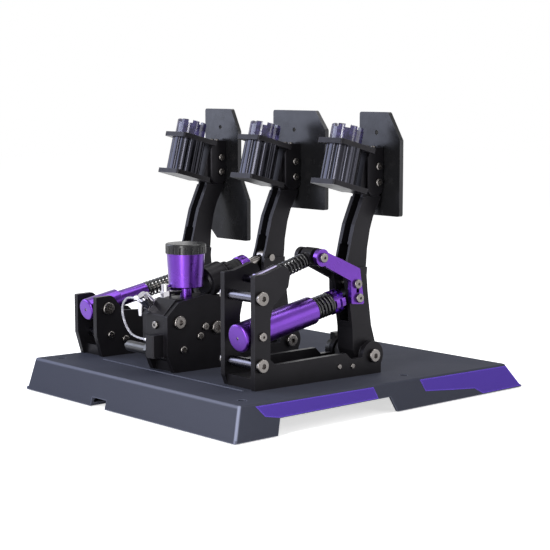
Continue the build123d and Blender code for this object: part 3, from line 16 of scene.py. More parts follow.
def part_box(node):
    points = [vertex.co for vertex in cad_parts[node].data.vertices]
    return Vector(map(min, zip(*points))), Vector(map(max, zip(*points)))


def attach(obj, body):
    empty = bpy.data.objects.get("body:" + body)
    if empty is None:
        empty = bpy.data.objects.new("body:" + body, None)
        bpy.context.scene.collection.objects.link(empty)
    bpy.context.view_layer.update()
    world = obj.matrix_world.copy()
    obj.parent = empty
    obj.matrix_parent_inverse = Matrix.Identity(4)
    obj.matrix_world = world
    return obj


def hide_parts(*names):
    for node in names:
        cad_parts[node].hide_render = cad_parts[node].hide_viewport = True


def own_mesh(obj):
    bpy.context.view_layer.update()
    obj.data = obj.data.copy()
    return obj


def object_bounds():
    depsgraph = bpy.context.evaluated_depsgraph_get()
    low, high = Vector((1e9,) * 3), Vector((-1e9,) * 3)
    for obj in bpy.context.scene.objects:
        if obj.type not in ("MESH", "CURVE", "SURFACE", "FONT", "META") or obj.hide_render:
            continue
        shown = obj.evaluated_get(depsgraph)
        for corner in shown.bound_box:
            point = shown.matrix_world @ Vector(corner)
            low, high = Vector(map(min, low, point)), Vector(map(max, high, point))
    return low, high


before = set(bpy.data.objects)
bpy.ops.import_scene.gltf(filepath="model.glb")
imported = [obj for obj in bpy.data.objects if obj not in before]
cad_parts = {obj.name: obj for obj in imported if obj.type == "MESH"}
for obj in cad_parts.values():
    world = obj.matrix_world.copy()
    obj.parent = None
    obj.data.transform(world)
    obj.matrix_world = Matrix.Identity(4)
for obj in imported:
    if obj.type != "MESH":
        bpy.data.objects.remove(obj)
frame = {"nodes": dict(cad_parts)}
cad_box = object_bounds()

LOG = logging.getLogger("pedal_set")
MM = 0.001
SURFACE_IOR = 1.5
# Sockets of the Mix node when it mixes colours.
MIX_SHARE, MIX_FIRST, MIX_SECOND, MIX_RESULT = 0, 6, 7, 2

Colour = tuple[float, float, float]


def linear(red: int, green: int, blue: int) -> Colour:
    """Turn a colour written as 8-bit screen values into linear light.

    Args:
        red: Red from 0 to 255.
        green: Green from 0 to 255.
        blue: Blue from 0 to 255.

    Returns:
        The colour in linear light, from 0 to 1.
    """
    shares = (red / 255, green / 255, blue / 255)
    return tuple(s / 12.92 if s <= 0.04045 else ((s + 0.055) / 1.055) ** 2.4 for s in shares)


def toned(colour: Colour, gain: float) -> Colour:
    """Return a colour made lighter or darker by a factor."""
    return tuple(c * gain for c in colour)


def placed(name: str, data: bpy.types.ID) -> bpy.types.Object:
    """Return a new object of the data, linked into the scene."""
    thing = bpy.data.objects.new(name, data)
    bpy.context.collection.objects.link(thing)
    return thing


class Slot(Enum):
    """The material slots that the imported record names."""

    TRAY = "tray_black"
    BLACK = "black_anodised"
    PURPLE = "purple_anodised"
    SATIN = "satin_aluminium"
    STAINLESS = "stainless"
    SPRING = "black_spring"
    CHROME = "chrome"
    PLASTIC = "black_plastic"
    CROWN = "violet_crown"
    BUSH = "bush_polymer"
    RUBBER = "black_rubber"
    HOSE = "pale_hose"


class Body(Enum):
    """The bodies that pieces made here ride on."""

    FRAME = "frame"
    CLUTCH_DAMPER = "clutch_damper"
    ASSIST_BLOCK = "assist_block"
    THROTTLE_DAMPER = "throttle_damper"
    CLUTCH_PEDAL = "clutch_pedal"
    BRAKE_PEDAL = "brake_pedal"
    THROTTLE_PEDAL = "throttle_pedal"


class Joint(Enum):
    """The sliding joints along the spring struts and the brake's push rod."""

    CLUTCH_ROD = "clutch_rod_slide"
    ASSIST_ROD = "assist_slide"
    THROTTLE_ROD = "throttle_rod_slide"
    BRAKE_ROD = "brake_rod_slide"


@dataclass(frozen=True)
class Pattern:
    """A noise pattern: waves per metre, and octaves of finer noise."""

    scale: float
    detail: float


class NodeSheet:
    """A material's node tree, with one short method for each kind of node used."""

    def __init__(self, name: str) -> None:
        """Start a material that holds one Principled shader.

        Args:
            name: The material's name.
        """
        self.material = bpy.data.materials.new(name)
        self.material.use_nodes = True
        self.tree = self.material.node_tree
        self.shader = self.tree.nodes["Principled BSDF"]
        self.coordinates = self.tree.nodes.new("ShaderNodeTexCoord").outputs["Object"]

    def add(self, kind: str, **settings: object) -> bpy.types.Node:
        """Add a node and set its plain properties.

        Args:
            kind: The node's type name.
            **settings: Properties of the node by name.

        Returns:
            The new node.
        """
        node = self.tree.nodes.new(kind)
        for key, value in settings.items():
            setattr(node, key, value)
        return node

    def join(self, output: bpy.types.NodeSocket, target: bpy.types.NodeSocket) -> None:
        """Link an output to an input."""
        self.tree.links.new(output, target)

    def set(self, **values: object) -> None:
        """Set constants on the shader's own sockets, with spaces written as underscores."""
        for key, value in values.items():
            self.shader.inputs[key.replace("_", " ")].default_value = value

    def stretched(self, scale: tuple[float, float, float]) -> bpy.types.NodeSocket:
        """Return the piece's coordinates, stretched along its axes."""
        mapping = self.add("ShaderNodeMapping")
        mapping.inputs["Scale"].default_value = scale
        self.join(self.coordinates, mapping.inputs["Vector"])
        return mapping.outputs["Vector"]

    def noise(self, pattern: Pattern, vector: bpy.types.NodeSocket | None = None) -> bpy.types.NodeSocket:
        """Add a noise pattern.

        Args:
            pattern: Its waves and octaves.
            vector: Coordinates to read, or None for the piece's own.

        Returns:
            The noise factor.
        """
        node = self.add("ShaderNodeTexNoise")
        node.inputs["Scale"].default_value = pattern.scale
        node.inputs["Detail"].default_value = pattern.detail
        self.join(vector or self.coordinates, node.inputs["Vector"])
        return node.outputs["Fac"]

    def clouds(self, pattern: Pattern) -> bpy.types.NodeSocket:
        """Return soft patches of a noise pattern, from 0 to 1."""
        return self.spread(self.noise(pattern), 0.0, 1.0)

    def spread(self, value: bpy.types.NodeSocket, low: float, high: float,
               start: float = 0.3, end: float = 0.7) -> bpy.types.NodeSocket:
        """Map a pattern onto a range of numbers.

        Args:
            value: The pattern.
            low: Result at start.
            high: Result at end.
            start: Pattern value where the range starts.
            end: Pattern value where the range ends.

        Returns:
            The mapped number.
        """
        node = self.add("ShaderNodeMapRange")
        node.inputs["From Min"].default_value = start
        node.inputs["From Max"].default_value = end
        node.inputs["To Min"].default_value = low
        node.inputs["To Max"].default_value = high
        self.join(value, node.inputs["Value"])
        return node.outputs["Result"]

    def lay(self, under: Colour | bpy.types.NodeSocket, mask: bpy.types.NodeSocket,
            colour: Colour) -> bpy.types.NodeSocket:
        """Lay a colour over another one.

        Args:
            under: The linear colour or the shade that lies under it.
            mask: Where the colour shows.
            colour: The linear colour.

        Returns:
            The new shade.
        """
        node = self.add("ShaderNodeMix", data_type="RGBA")
        if isinstance(under, bpy.types.NodeSocket):
            self.join(under, node.inputs[MIX_FIRST])
        else:
            node.inputs[MIX_FIRST].default_value = (*under, 1.0)
        node.inputs[MIX_SECOND].default_value = (*colour, 1.0)
        self.join(mask, node.inputs[MIX_SHARE])
        return node.outputs[MIX_RESULT]

    def paint(self, shade: bpy.types.NodeSocket) -> None:
        """Give the shader its colour."""
        self.join(shade, self.shader.inputs["Base Color"])

    def gloss(self, pattern: Pattern, roughness: float, below: float = 0.04, above: float = 0.05) -> None:
        """Let the shader's roughness wander over a pattern.

        Args:
            pattern: Where it is smoother and rougher.
            roughness: The finish's own roughness.
            below: How far it falls under that.
            above: How far it rises over that.
        """
        wander = self.spread(self.noise(pattern), roughness - below, roughness + above)
        self.join(wander, self.shader.inputs["Roughness"])

    def relief(self, pattern: Pattern, depth: float, strength: float = 1.0,
               vector: bpy.types.NodeSocket | None = None) -> None:
        """Give the shader a fine surface relief.

        Args:
            pattern: The relief's pattern.
            depth: Relief depth in metres.
            strength: Share of the relief that is applied.
            vector: Coordinates to read, or None for the piece's own.
        """
        node = self.add("ShaderNodeBump")
        node.inputs["Distance"].default_value = depth
        node.inputs["Strength"].default_value = strength
        self.join(self.noise(pattern, vector), node.inputs["Height"])
        self.join(node.outputs["Normal"], self.shader.inputs["Normal"])

    def edge_wear_and_glint(self, radius: float, full_at: float = 0.82, flat: float = 0.985) -> bpy.types.NodeSocket:
        """Return a mask that rises from 0 to 1 along sharp edges, for edge wear and a painted edge highlight.

        Args:
            radius: How far from the edge the mask reaches, in metres.
            full_at: Likeness of the rounded and true normals at which the mask is 1.
            flat: Likeness at which it is 0.

        Returns:
            The edge mask.
        """
        bevel = self.add("ShaderNodeBevel", samples=6)
        bevel.inputs["Radius"].default_value = radius
        geometry = self.add("ShaderNodeNewGeometry")
        dot = self.add("ShaderNodeVectorMath", operation="DOT_PRODUCT")
        self.join(bevel.outputs["Normal"], dot.inputs[0])
        self.join(geometry.outputs["Normal"], dot.inputs[1])
        return self.spread(dot.outputs["Value"], 1.0, 0.0, full_at, flat)

    def near_line(self, point: tuple[float, float, float], direction: tuple[float, float, float],
                  core: float, fade: float) -> bpy.types.NodeSocket:
        """Return a mask that is 1 on a line in the piece's space and fades to 0 beside it.

        Args:
            point: A point on the line, in metres.
            direction: The line's direction.
            core: How far from the line the mask stays 1, in metres.
            fade: How far from the line it reaches 0, in metres.

        Returns:
            The line mask.
        """
        away = self.add("ShaderNodeVectorMath", operation="SUBTRACT")
        away.inputs[1].default_value = point
        self.join(self.coordinates, away.inputs[0])
        across = self.add("ShaderNodeVectorMath", operation="CROSS_PRODUCT")
        across.inputs[1].default_value = Vector(direction).normalized()
        self.join(away.outputs["Vector"], across.inputs[0])
        length = self.add("ShaderNodeVectorMath", operation="LENGTH")
        self.join(across.outputs["Vector"], length.inputs[0])
        return self.spread(length.outputs["Value"], 1.0, 0.0, core, fade)


@dataclass(frozen=True)
class AnodisedFinish:
    """Bead-blasted and dyed aluminium, a little paler along its edges, partly as edge wear and partly as a
    painted highlight.
    """

    name: str
    colour: Colour
    edge_colour: Colour
    roughness: float
    metallic: float = 1.0
    specular: float = 0.5
    coat: float = 0.0
    coat_roughness: float = 0.25
    edge_radius: float = 0.35 * MM
    edge_share: float = 0.6
    cloud: Pattern = Pattern(38.0, 4.0)
    cloud_gain: float = 1.18
    smear: Pattern = Pattern(120.0, 5.0)
    grain: Pattern = Pattern(2600.0, 2.0)
    grain_depth: float = 0.003 * MM

    def build(self) -> bpy.types.Material:
        """Return the finished material."""
        sheet = NodeSheet(self.name)
        sheet.set(Metallic=self.metallic, IOR=SURFACE_IOR, Specular_IOR_Level=self.specular,
                  Coat_Weight=self.coat, Coat_Roughness=self.coat_roughness)
        shade = sheet.lay(self.colour, sheet.clouds(self.cloud), toned(self.colour, self.cloud_gain))
        # Paler edges: partly edge wear, partly a painted highlight.
        edge = sheet.spread(sheet.edge_wear_and_glint(self.edge_radius), 0.0, self.edge_share, 0.0, 1.0)
        sheet.paint(sheet.lay(shade, edge, self.edge_colour))
        sheet.gloss(self.smear, self.roughness)
        sheet.relief(self.grain, self.grain_depth)
        return sheet.material


@dataclass(frozen=True)
class BendHighlight:
    """A painted highlight along a bend of the tray, by a point on it and its direction.

    The painted highlight is brightest within core of the line, and gone from fade on.
    """

    point: tuple[float, float, float]
    direction: tuple[float, float, float]
    gain: float
    core: float
    fade: float


@dataclass(frozen=True)
class PowderCoatFinish:
    """Fine-textured satin powder coat on sheet metal, paler on its edges (partly thin coat, partly a painted
    highlight), with painted highlights along its bends.
    """

    name: str
    colour: Colour
    roughness: float
    specular: float
    texture_scale: float = 1500.0
    texture_depth: float = 0.015 * MM
    texture_share: float = 0.6
    texture_detail: float = 3.0
    fleck_ratio: float = 1.7
    fleck_detail: float = 2.0
    fleck_gains: tuple[float, float] = (0.9, 1.14)
    edge_radius: float = 1.8 * MM
    edge_gain: float = 2.6
    smear: Pattern = Pattern(24.0, 4.0)
    bend_highlights: tuple[BendHighlight, ...] = ()

    def build(self) -> bpy.types.Material:
        """Return the finished material."""
        sheet = NodeSheet(self.name)
        sheet.set(Metallic=0.0, IOR=SURFACE_IOR, Specular_IOR_Level=self.specular)
        flecks = sheet.clouds(Pattern(self.texture_scale * self.fleck_ratio, self.fleck_detail))
        dark, pale = (toned(self.colour, gain) for gain in self.fleck_gains)
        shade = sheet.lay(dark, flecks, pale)
        # Paler edges: partly thin coat, partly a painted highlight.
        shade = sheet.lay(shade, sheet.edge_wear_and_glint(self.edge_radius), toned(self.colour, self.edge_gain))
        # Painted highlights along the bends, where the lamps would glint.
        for bend in self.bend_highlights:
            mask = sheet.near_line(bend.point, bend.direction, bend.core, bend.fade)
            shade = sheet.lay(shade, mask, toned(self.colour, bend.gain))
        sheet.paint(shade)
        sheet.gloss(self.smear, self.roughness, below=0.03, above=0.04)
        sheet.relief(Pattern(self.texture_scale, self.texture_detail), self.texture_depth, self.texture_share)
        return sheet.material


@dataclass(frozen=True)
class TurnedMetalFinish:
    """Bare turned or polished metal with faint tool marks."""

    name: str
    colour: Colour
    roughness: float
    tone: Pattern = Pattern(60.0, 3.0)
    tone_gain: float = 0.85
    smear: Pattern = Pattern(300.0, 4.0)
    marks: Pattern = Pattern(900.0, 2.0)
    mark_stretch: tuple[float, float, float] = (0.15, 1.0, 1.0)
    mark_depth: float = 0.002 * MM

    def build(self) -> bpy.types.Material:
        """Return the finished material."""
        sheet = NodeSheet(self.name)
        sheet.set(Metallic=1.0, IOR=SURFACE_IOR)
        dark = toned(self.colour, self.tone_gain)
        sheet.paint(sheet.lay(dark, sheet.clouds(self.tone), self.colour))
        sheet.gloss(self.smear, self.roughness)
        sheet.relief(self.marks, self.mark_depth, vector=sheet.stretched(self.mark_stretch))
        return sheet.material


@dataclass(frozen=True)
class MouldedFinish:
    """Moulded plastic, polymer, rubber or baked coating with a fine skin."""

    name: str
    colour: Colour
    roughness: float
    specular: float = 0.5
    tone: Pattern = Pattern(70.0, 4.0)
    tone_gain: float = 1.25
    smear: Pattern = Pattern(210.0, 4.0)
    skin: Pattern = Pattern(1800.0, 3.0)
    skin_depth: float = 0.01 * MM
    skin_share: float = 0.5

    def build(self) -> bpy.types.Material:
        """Return the finished material."""
        sheet = NodeSheet(self.name)
        sheet.set(Metallic=0.0, IOR=SURFACE_IOR, Specular_IOR_Level=self.specular)
        pale = toned(self.colour, self.tone_gain)
        sheet.paint(sheet.lay(self.colour, sheet.clouds(self.tone), pale))
        sheet.gloss(self.smear, self.roughness)
        sheet.relief(self.skin, self.skin_depth, self.skin_share)
        return sheet.material


@dataclass(frozen=True)
class TintedClearFinish:
    """Tinted see-through plastic, as on the motor crowns and the hose."""

    name: str
    colour: Colour
    pale: Colour
    transmission: float
    roughness: float
    ior: float = 1.46
    cloud: Pattern = Pattern(150.0, 3.0)
    smear: Pattern = Pattern(260.0, 3.0)
    ripple: Pattern = Pattern(420.0, 2.0)
    ripple_depth: float = 0.01 * MM

    def build(self) -> bpy.types.Material:
        """Return the finished material."""
        sheet = NodeSheet(self.name)
        sheet.set(Metallic=0.0, IOR=self.ior, Transmission_Weight=self.transmission)
        sheet.paint(sheet.lay(self.colour, sheet.clouds(self.cloud), self.pale))
        sheet.gloss(self.smear, self.roughness, below=0.0, above=0.08)
        sheet.relief(self.ripple, self.ripple_depth)
        return sheet.material


Finish = AnodisedFinish | PowderCoatFinish | TurnedMetalFinish | MouldedFinish | TintedClearFinish


class Coat(Enum):
    """Finishes of single pieces that share a record slot with other-looking ones."""

    MOTOR = "motor_can"
    FACE = "face_plate"
    BAND = "flange_band"
    BARREL = "bright_barrel"
    CAP = "glossy_cap"


@dataclass
class FinishRack:
    """Every finish of the set, by the record's slot or the single coat it stands for."""

    finishes: dict[Slot | Coat, Finish] = field(default_factory=lambda: {
        Slot.TRAY: PowderCoatFinish("tray_powder_coat", linear(57, 59, 69), 0.65, 0.03, bend_highlights=(
            # Painted highlights on the back bend and the two back corners, brightest on the left corner.
            BendHighlight((0.0, 191.2 * MM, 33.7 * MM), (1.0, 0.0, 0.0), 2.4, 1.0 * MM, 2.7 * MM),
            BendHighlight((-165.2 * MM, 190.3 * MM, 34.1 * MM), (-4.2, 9.0, -34.1), 5.0, 0.7 * MM, 2.0 * MM),
            BendHighlight((164.0 * MM, 190.3 * MM, 34.1 * MM), (4.2, 9.0, -34.1), 3.0, 0.7 * MM, 2.0 * MM))),
        Slot.BLACK: AnodisedFinish("black_anodised_parts", linear(29, 28, 31), linear(84, 82, 90), 0.37,
                                   metallic=0.5, specular=0.12),
        Slot.PURPLE: AnodisedFinish("purple_anodised_parts", linear(86, 42, 138), linear(160, 105, 205), 0.3,
                                    coat=0.3),
        Slot.SATIN: TurnedMetalFinish("satin_aluminium_parts", linear(90, 89, 98), 0.26),
        Slot.STAINLESS: TurnedMetalFinish("stainless_fasteners", linear(122, 118, 116), 0.24),
        Slot.SPRING: MouldedFinish("black_coil_coat", linear(20, 20, 22), 0.22),
        Slot.CHROME: TurnedMetalFinish("chrome_unions", linear(196, 194, 200), 0.12),
        Slot.PLASTIC: MouldedFinish("black_plastic_parts", linear(26, 26, 28), 0.36),
        Slot.CROWN: TintedClearFinish("violet_crown_plastic", linear(40, 38, 66), linear(84, 78, 128),
                                      transmission=0.6, roughness=0.07),
        Slot.BUSH: MouldedFinish("bush_polymer_parts", linear(60, 60, 64), 0.45),
        Slot.RUBBER: MouldedFinish("black_rubber_parts", linear(24, 24, 25), 0.72, specular=0.3),
        Slot.HOSE: TintedClearFinish("pale_hose_wall", linear(150, 149, 158), linear(186, 185, 194),
                                     transmission=0.45, roughness=0.15),
        Coat.MOTOR: AnodisedFinish("glossy_motor_can", linear(46, 46, 52), linear(90, 88, 98), 0.2,
                                   edge_share=0.1),
        Coat.FACE: AnodisedFinish("face_plate_black", linear(37, 37, 39), linear(84, 84, 92), 0.24,
                                  metallic=0.55, specular=0.2),
        Coat.BAND: PowderCoatFinish("purple_flange_band", linear(74, 54, 144), 0.7, 0.06,
                                    texture_scale=1900.0, texture_depth=0.008 * MM),
        Coat.BARREL: TurnedMetalFinish("bright_barrel_metal", linear(104, 98, 122), 0.16),
        Coat.CAP: MouldedFinish("glossy_cap_plastic", linear(16, 16, 18), 0.28, specular=0.35),
    })
    special: dict[str, Coat] = field(default_factory=lambda: {
        "clutch_face": Coat.FACE, "brake_face": Coat.FACE, "throttle_face": Coat.FACE,
        "assist_barrel": Coat.BARREL, "reservoir_cap": Coat.CAP,
    })

    def dress(self, nodes: dict[str, bpy.types.Object]) -> dict[Slot | Coat, bpy.types.Material]:
        """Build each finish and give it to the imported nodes.

        Args:
            nodes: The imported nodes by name.

        Returns:
            The built materials by slot or coat.
        """
        built = {key: finish.build() for key, finish in self.finishes.items()}
        for name, node in nodes.items():
            for holder in node.material_slots:
                slot = Slot(holder.material.name.split(".")[0])
                holder.material = built[self.special.get(name, slot)]
            LOG.info("dressed %s", name)
        return built


class GeometryRule:
    """A geometry node tree with named sizes, turned into plain meshes on request."""

    def __init__(self, name: str) -> None:
        """Start a tree that has a geometry input and output.

        Args:
            name: The tree's name.
        """
        self.tree = bpy.data.node_groups.new(name, "GeometryNodeTree")
        for way in ("INPUT", "OUTPUT"):
            self.tree.interface.new_socket(name="Geometry", in_out=way, socket_type="NodeSocketGeometry")
        self.entry = self.tree.nodes.new("NodeGroupInput")
        self.exit = self.tree.nodes.new("NodeGroupOutput")
        self.identifiers: dict[str, str] = {}

    def size(self, name: str) -> bpy.types.NodeSocket:
        """Add a named size and return the socket that gives it."""
        item = self.tree.interface.new_socket(name=name, in_out="INPUT", socket_type="NodeSocketFloat")
        self.identifiers[name] = item.identifier
        return self.entry.outputs[name]

    def step(self, kind: str, feeds: dict[str | int, object] | None = None,
             **settings: object) -> bpy.types.Node:
        """Add a node.

        Args:
            kind: The node's type name.
            feeds: A socket to link or a value to set, by input.
            **settings: Properties of the node by name.

        Returns:
            The new node.
        """
        node = self.tree.nodes.new(kind)
        for key, value in settings.items():
            setattr(node, key, value)
        for key, value in (feeds or {}).items():
            if isinstance(value, bpy.types.NodeSocket):
                self.tree.links.new(value, node.inputs[key])
            else:
                node.inputs[key].default_value = value
        return node

    def maths(self, operation: str, first: object, second: object = 0.0,
              third: object = 0.0) -> bpy.types.NodeSocket:
        """Return the result of one sum on numbers or sockets."""
        feeds = {0: first, 1: second, 2: third}
        return self.step("ShaderNodeMath", feeds, operation=operation).outputs[0]

    def point(self, x: object, y: object, z: object) -> bpy.types.NodeSocket:
        """Return a point put together from its three parts."""
        return self.step("ShaderNodeCombineXYZ", {"X": x, "Y": y, "Z": z}).outputs[0]

    def close(self, geometry: bpy.types.NodeSocket, material: bpy.types.Material) -> None:
        """End the tree: make instances real, shade smooth and set the material.

        Args:
            geometry: The finished geometry.
            material: The finish of the whole piece.
        """
        real = self.step("GeometryNodeRealizeInstances", {"Geometry": geometry}).outputs[0]
        smooth = self.step("GeometryNodeSetShadeSmooth", {"Geometry": real}).outputs[0]
        dressed = self.step("GeometryNodeSetMaterial", {"Geometry": smooth, "Material": material})
        self.tree.links.new(dressed.outputs[0], self.exit.inputs[0])

    def make(self, name: str, place: Matrix, **sizes: float) -> bpy.types.Object:
        """Run the tree and keep its result as a plain mesh.

        Args:
            name: The piece's name.
            place: Where the tree's own frame stands in the model's.
            **sizes: The named sizes, with spaces written as underscores.

        Returns:
            The piece, with its place in its mesh.
        """
        piece = placed(name, bpy.data.meshes.new(f"{name}_start"))
        modifier = piece.modifiers.new("rule", "NODES")
        modifier.node_group = self.tree
        for key, value in sizes.items():
            modifier[self.identifiers[key.replace("_", " ")]] = float(value)
        graph = bpy.context.evaluated_depsgraph_get()
        mesh = bpy.data.meshes.new_from_object(piece.evaluated_get(graph))
        piece.modifiers.clear()
        mesh.transform(place)
        mesh.name = name
        piece.data = mesh
        return piece


def close_piece(piece: bpy.types.Object, body: Body, slot: Slot, *nodes: str) -> None:
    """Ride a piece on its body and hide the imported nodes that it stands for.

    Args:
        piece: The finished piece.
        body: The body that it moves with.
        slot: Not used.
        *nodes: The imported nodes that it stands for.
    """
    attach(piece, body.value)
    if nodes:
        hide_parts(*nodes)
    LOG.info("made %s: %d faces", piece.name, len(piece.data.polygons))


def mesh_piece(name: str, shape: bmesh.types.BMesh, material: bpy.types.Material,
               smooth: bool = True) -> bpy.types.Object:
    """Turn a bmesh into a dressed object.

    Args:
        name: The piece's name.
        shape: The bmesh, which is freed.
        material: The piece's finish.
        smooth: True for smooth shading.

    Returns:
        The new object.
    """
    bmesh.ops.recalc_face_normals(shape, faces=shape.faces)
    mesh = bpy.data.meshes.new(name)
    shape.to_mesh(mesh)
    shape.free()
    mesh.polygons.foreach_set("use_smooth", [smooth] * len(mesh.polygons))
    mesh.materials.append(material)
    return placed(name, mesh)


def turned(profile: list[tuple[float, float]], steps: int, place: Matrix,
           closed: bool = False) -> bmesh.types.BMesh:
    """Turn a profile round the +Z axis.

    Args:
        profile: Radius and height of each point, from the low end. A radius of 0 closes the pole.
        steps: Faces round the axis.
        place: Where the axis stands in the model's frame.
        closed: True where the last point joins the first, as in a ring.

    Returns:
        The closed shape.
    """
    shape = bmesh.new()
    rings = []
    for radius, height in profile:
        if radius == 0.0:
            rings.append([shape.verts.new(place @ Vector((0.0, 0.0, height)))])
            continue
        rings.append([shape.verts.new(place @ Vector((radius * cos(tau * i / steps),
                                                      radius * sin(tau * i / steps), height)))
                      for i in range(steps)])
    pairs = list(zip(rings, rings[1:])) + ([(rings[-1], rings[0])] if closed else [])
    for low, high in pairs:
        for i in range(steps):
            j = (i + 1) % steps
            corners = [low[i % len(low)], low[j % len(low)], high[j % len(high)], high[i % len(high)]]
            shape.faces.new(dict.fromkeys(corners))
    return shape


@dataclass(frozen=True)
class Strut:
    """The line of one spring strut, from the pin it swings on towards its pedal."""

    across: float
    rear: tuple[float, float]
    slope: tuple[float, float]

    def point(self, run: float) -> Vector:
        """Return the point at a distance along the line."""
        return Vector((self.across, self.rear[0], self.rear[1])) + self.axis() * run

    def axis(self) -> Vector:
        """Return the line's direction."""
        return Vector((0.0, *self.slope)).normalized()

    def place(self, run: float) -> Matrix:
        """Return a frame on the line, with its +Z along it."""
        forward = self.axis()
        side = Vector((1.0, 0.0, 0.0))
        turn = Matrix((side, forward.cross(side), forward)).transposed().to_4x4()
        return Matrix.Translation(self.point(run)) @ turn


CLUTCH_STRUT = Strut(-102.1 * MM, (125.0 * MM, 84.0 * MM), (-0.983, 0.18361))
ASSIST_STRUT = Strut(-102.1 * MM, (108.0 * MM, 134.5 * MM), (-0.9637, 0.267))
THROTTLE_STRUT = Strut(143.9 * MM, (127.0 * MM, 84.5 * MM), (-0.98385, 0.17899))
BRAKE_STRUT = Strut(20.9 * MM, (100.0 * MM, 113.0 * MM), (-0.97235, 0.23354))


@dataclass(frozen=True)
class Spring:
    """One coil spring, its seats along a strut, and the joint that squeezes it."""

    name: str
    body: Body
    node: str
    joint: Joint
    strut: Strut
    start: float
    end: float
    radius: float
    wire: float
    turns: float
    keep: float


@dataclass
class SpringWinder:
    """Winds the black springs, whose end turns lie closed on their seats."""

    material: bpy.types.Material
    steps_per_turn: float = 30.0
    sides: int = 12
    end_wires: float = 3.0
    springs: tuple[Spring, ...] = (
        Spring("clutch_coil", Body.CLUTCH_DAMPER, "clutch_spring", Joint.CLUTCH_ROD, CLUTCH_STRUT,
               82.8 * MM, 107.1 * MM, radius=10.2 * MM, wire=2.6 * MM, turns=5.6, keep=0.48),
        Spring("assist_coil", Body.ASSIST_BLOCK, "assist_spring", Joint.ASSIST_ROD, ASSIST_STRUT,
               18.9 * MM, 56.5 * MM, radius=6.6 * MM, wire=2.1 * MM, turns=9.0, keep=0.395),
        Spring("throttle_coil", Body.THROTTLE_DAMPER, "throttle_spring", Joint.THROTTLE_ROD, THROTTLE_STRUT,
               66.4 * MM, 110.7 * MM, radius=7.6 * MM, wire=2.2 * MM, turns=9.5, keep=0.646),
    )

    def rule(self) -> GeometryRule:
        """Return the rule of a coil whose first and last turns lie against their neighbours."""
        rule = GeometryRule("closed_end_coil")
        radius, wire, turns, length = (rule.size(name) for name in ("Radius", "Wire", "Turns", "Length"))
        line = rule.step("GeometryNodeCurvePrimitiveLine").outputs[0]
        count = rule.maths("MULTIPLY", turns, self.steps_per_turn)
        run = rule.step("GeometryNodeResampleCurve", {"Curve": line, "Count": count}).outputs[0]
        share = rule.step("GeometryNodeSplineParameter").outputs["Factor"]
        turn = rule.maths("MULTIPLY", share, turns)
        angle = rule.maths("MULTIPLY", turn, tau)
        low_end = rule.maths("MINIMUM", turn, 1.0)
        last_turn = rule.maths("SUBTRACT", turns, 1.0)
        high_end = rule.maths("MAXIMUM", rule.maths("SUBTRACT", turn, last_turn), 0.0)
        closed = rule.maths("MULTIPLY", rule.maths("ADD", low_end, high_end), wire)
        open_share = rule.step("ShaderNodeMath", {
            0: rule.maths("SUBTRACT", turn, 1.0), 1: rule.maths("SUBTRACT", turns, 2.0),
        }, operation="DIVIDE", use_clamp=True).outputs[0]
        open_length = rule.maths("SUBTRACT", length, rule.maths("MULTIPLY", wire, self.end_wires))
        height = rule.maths("MULTIPLY_ADD", open_share, open_length, closed)
        place = rule.point(rule.maths("MULTIPLY", rule.maths("COSINE", angle), radius),
                           rule.maths("MULTIPLY", rule.maths("SINE", angle), radius), height)
        coil = rule.step("GeometryNodeSetPosition", {"Geometry": run, "Position": place}).outputs[0]
        circle = rule.step("GeometryNodeCurvePrimitiveCircle", {
            "Radius": rule.maths("MULTIPLY", wire, 0.5), "Resolution": self.sides}).outputs[0]
        tube = rule.step("GeometryNodeCurveToMesh", {
            "Curve": coil, "Profile Curve": circle, "Fill Caps": True})
        rule.close(tube.outputs[0], self.material)
        return rule

    def build(self) -> None:
        """Wind each spring."""
        rule = self.rule()
        for spring in self.springs:
            place = spring.strut.place(spring.start + spring.wire / 2)
            piece = rule.make(spring.name, place, Radius=spring.radius, Wire=spring.wire,
                              Turns=spring.turns, Length=spring.end - spring.start)
            close_piece(piece, spring.body, Slot.SPRING, spring.node)
            tuple(spring.strut.axis())
            tuple(spring.strut.point(spring.start))
            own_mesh(piece)


@dataclass
class BrakeElastomer:
    """The ribbed rubber puck that the brake's push rod squeezes."""

    material: bpy.types.Material
    start: float = 53.5 * MM
    length: float = 15.0 * MM
    radius: float = 10.8 * MM
    bore: float = 5.35 * MM
    groove_depth: float = 1.5 * MM
    fullness: float = 0.45
    lobes: int = 3
    steps_per_lobe: int = 8
    sides: int = 56
    keep: float = 0.523

    def profile(self) -> list[tuple[float, float]]:
        """Return the ring's section: three rounded lobes outside, a plain bore inside."""
        outer = []
        for step in range(self.lobes * self.steps_per_lobe + 1):
            share = step / (self.lobes * self.steps_per_lobe)
            swell = abs(sin(pi * self.lobes * share)) ** self.fullness
            outer.append((self.radius - self.groove_depth * (1.0 - swell), self.length * share))
        return outer + [(self.bore, self.length), (self.bore, 0.0)]

    def build(self) -> None:
        """Turn the puck."""
        shape = turned(self.profile(), self.sides, BRAKE_STRUT.place(self.start), closed=True)
        piece = mesh_piece("ribbed_elastomer", shape, self.material)
        close_piece(piece, Body.FRAME, Slot.RUBBER, "brake_elastomer")
        tuple(BRAKE_STRUT.point(self.start))
        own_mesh(piece)


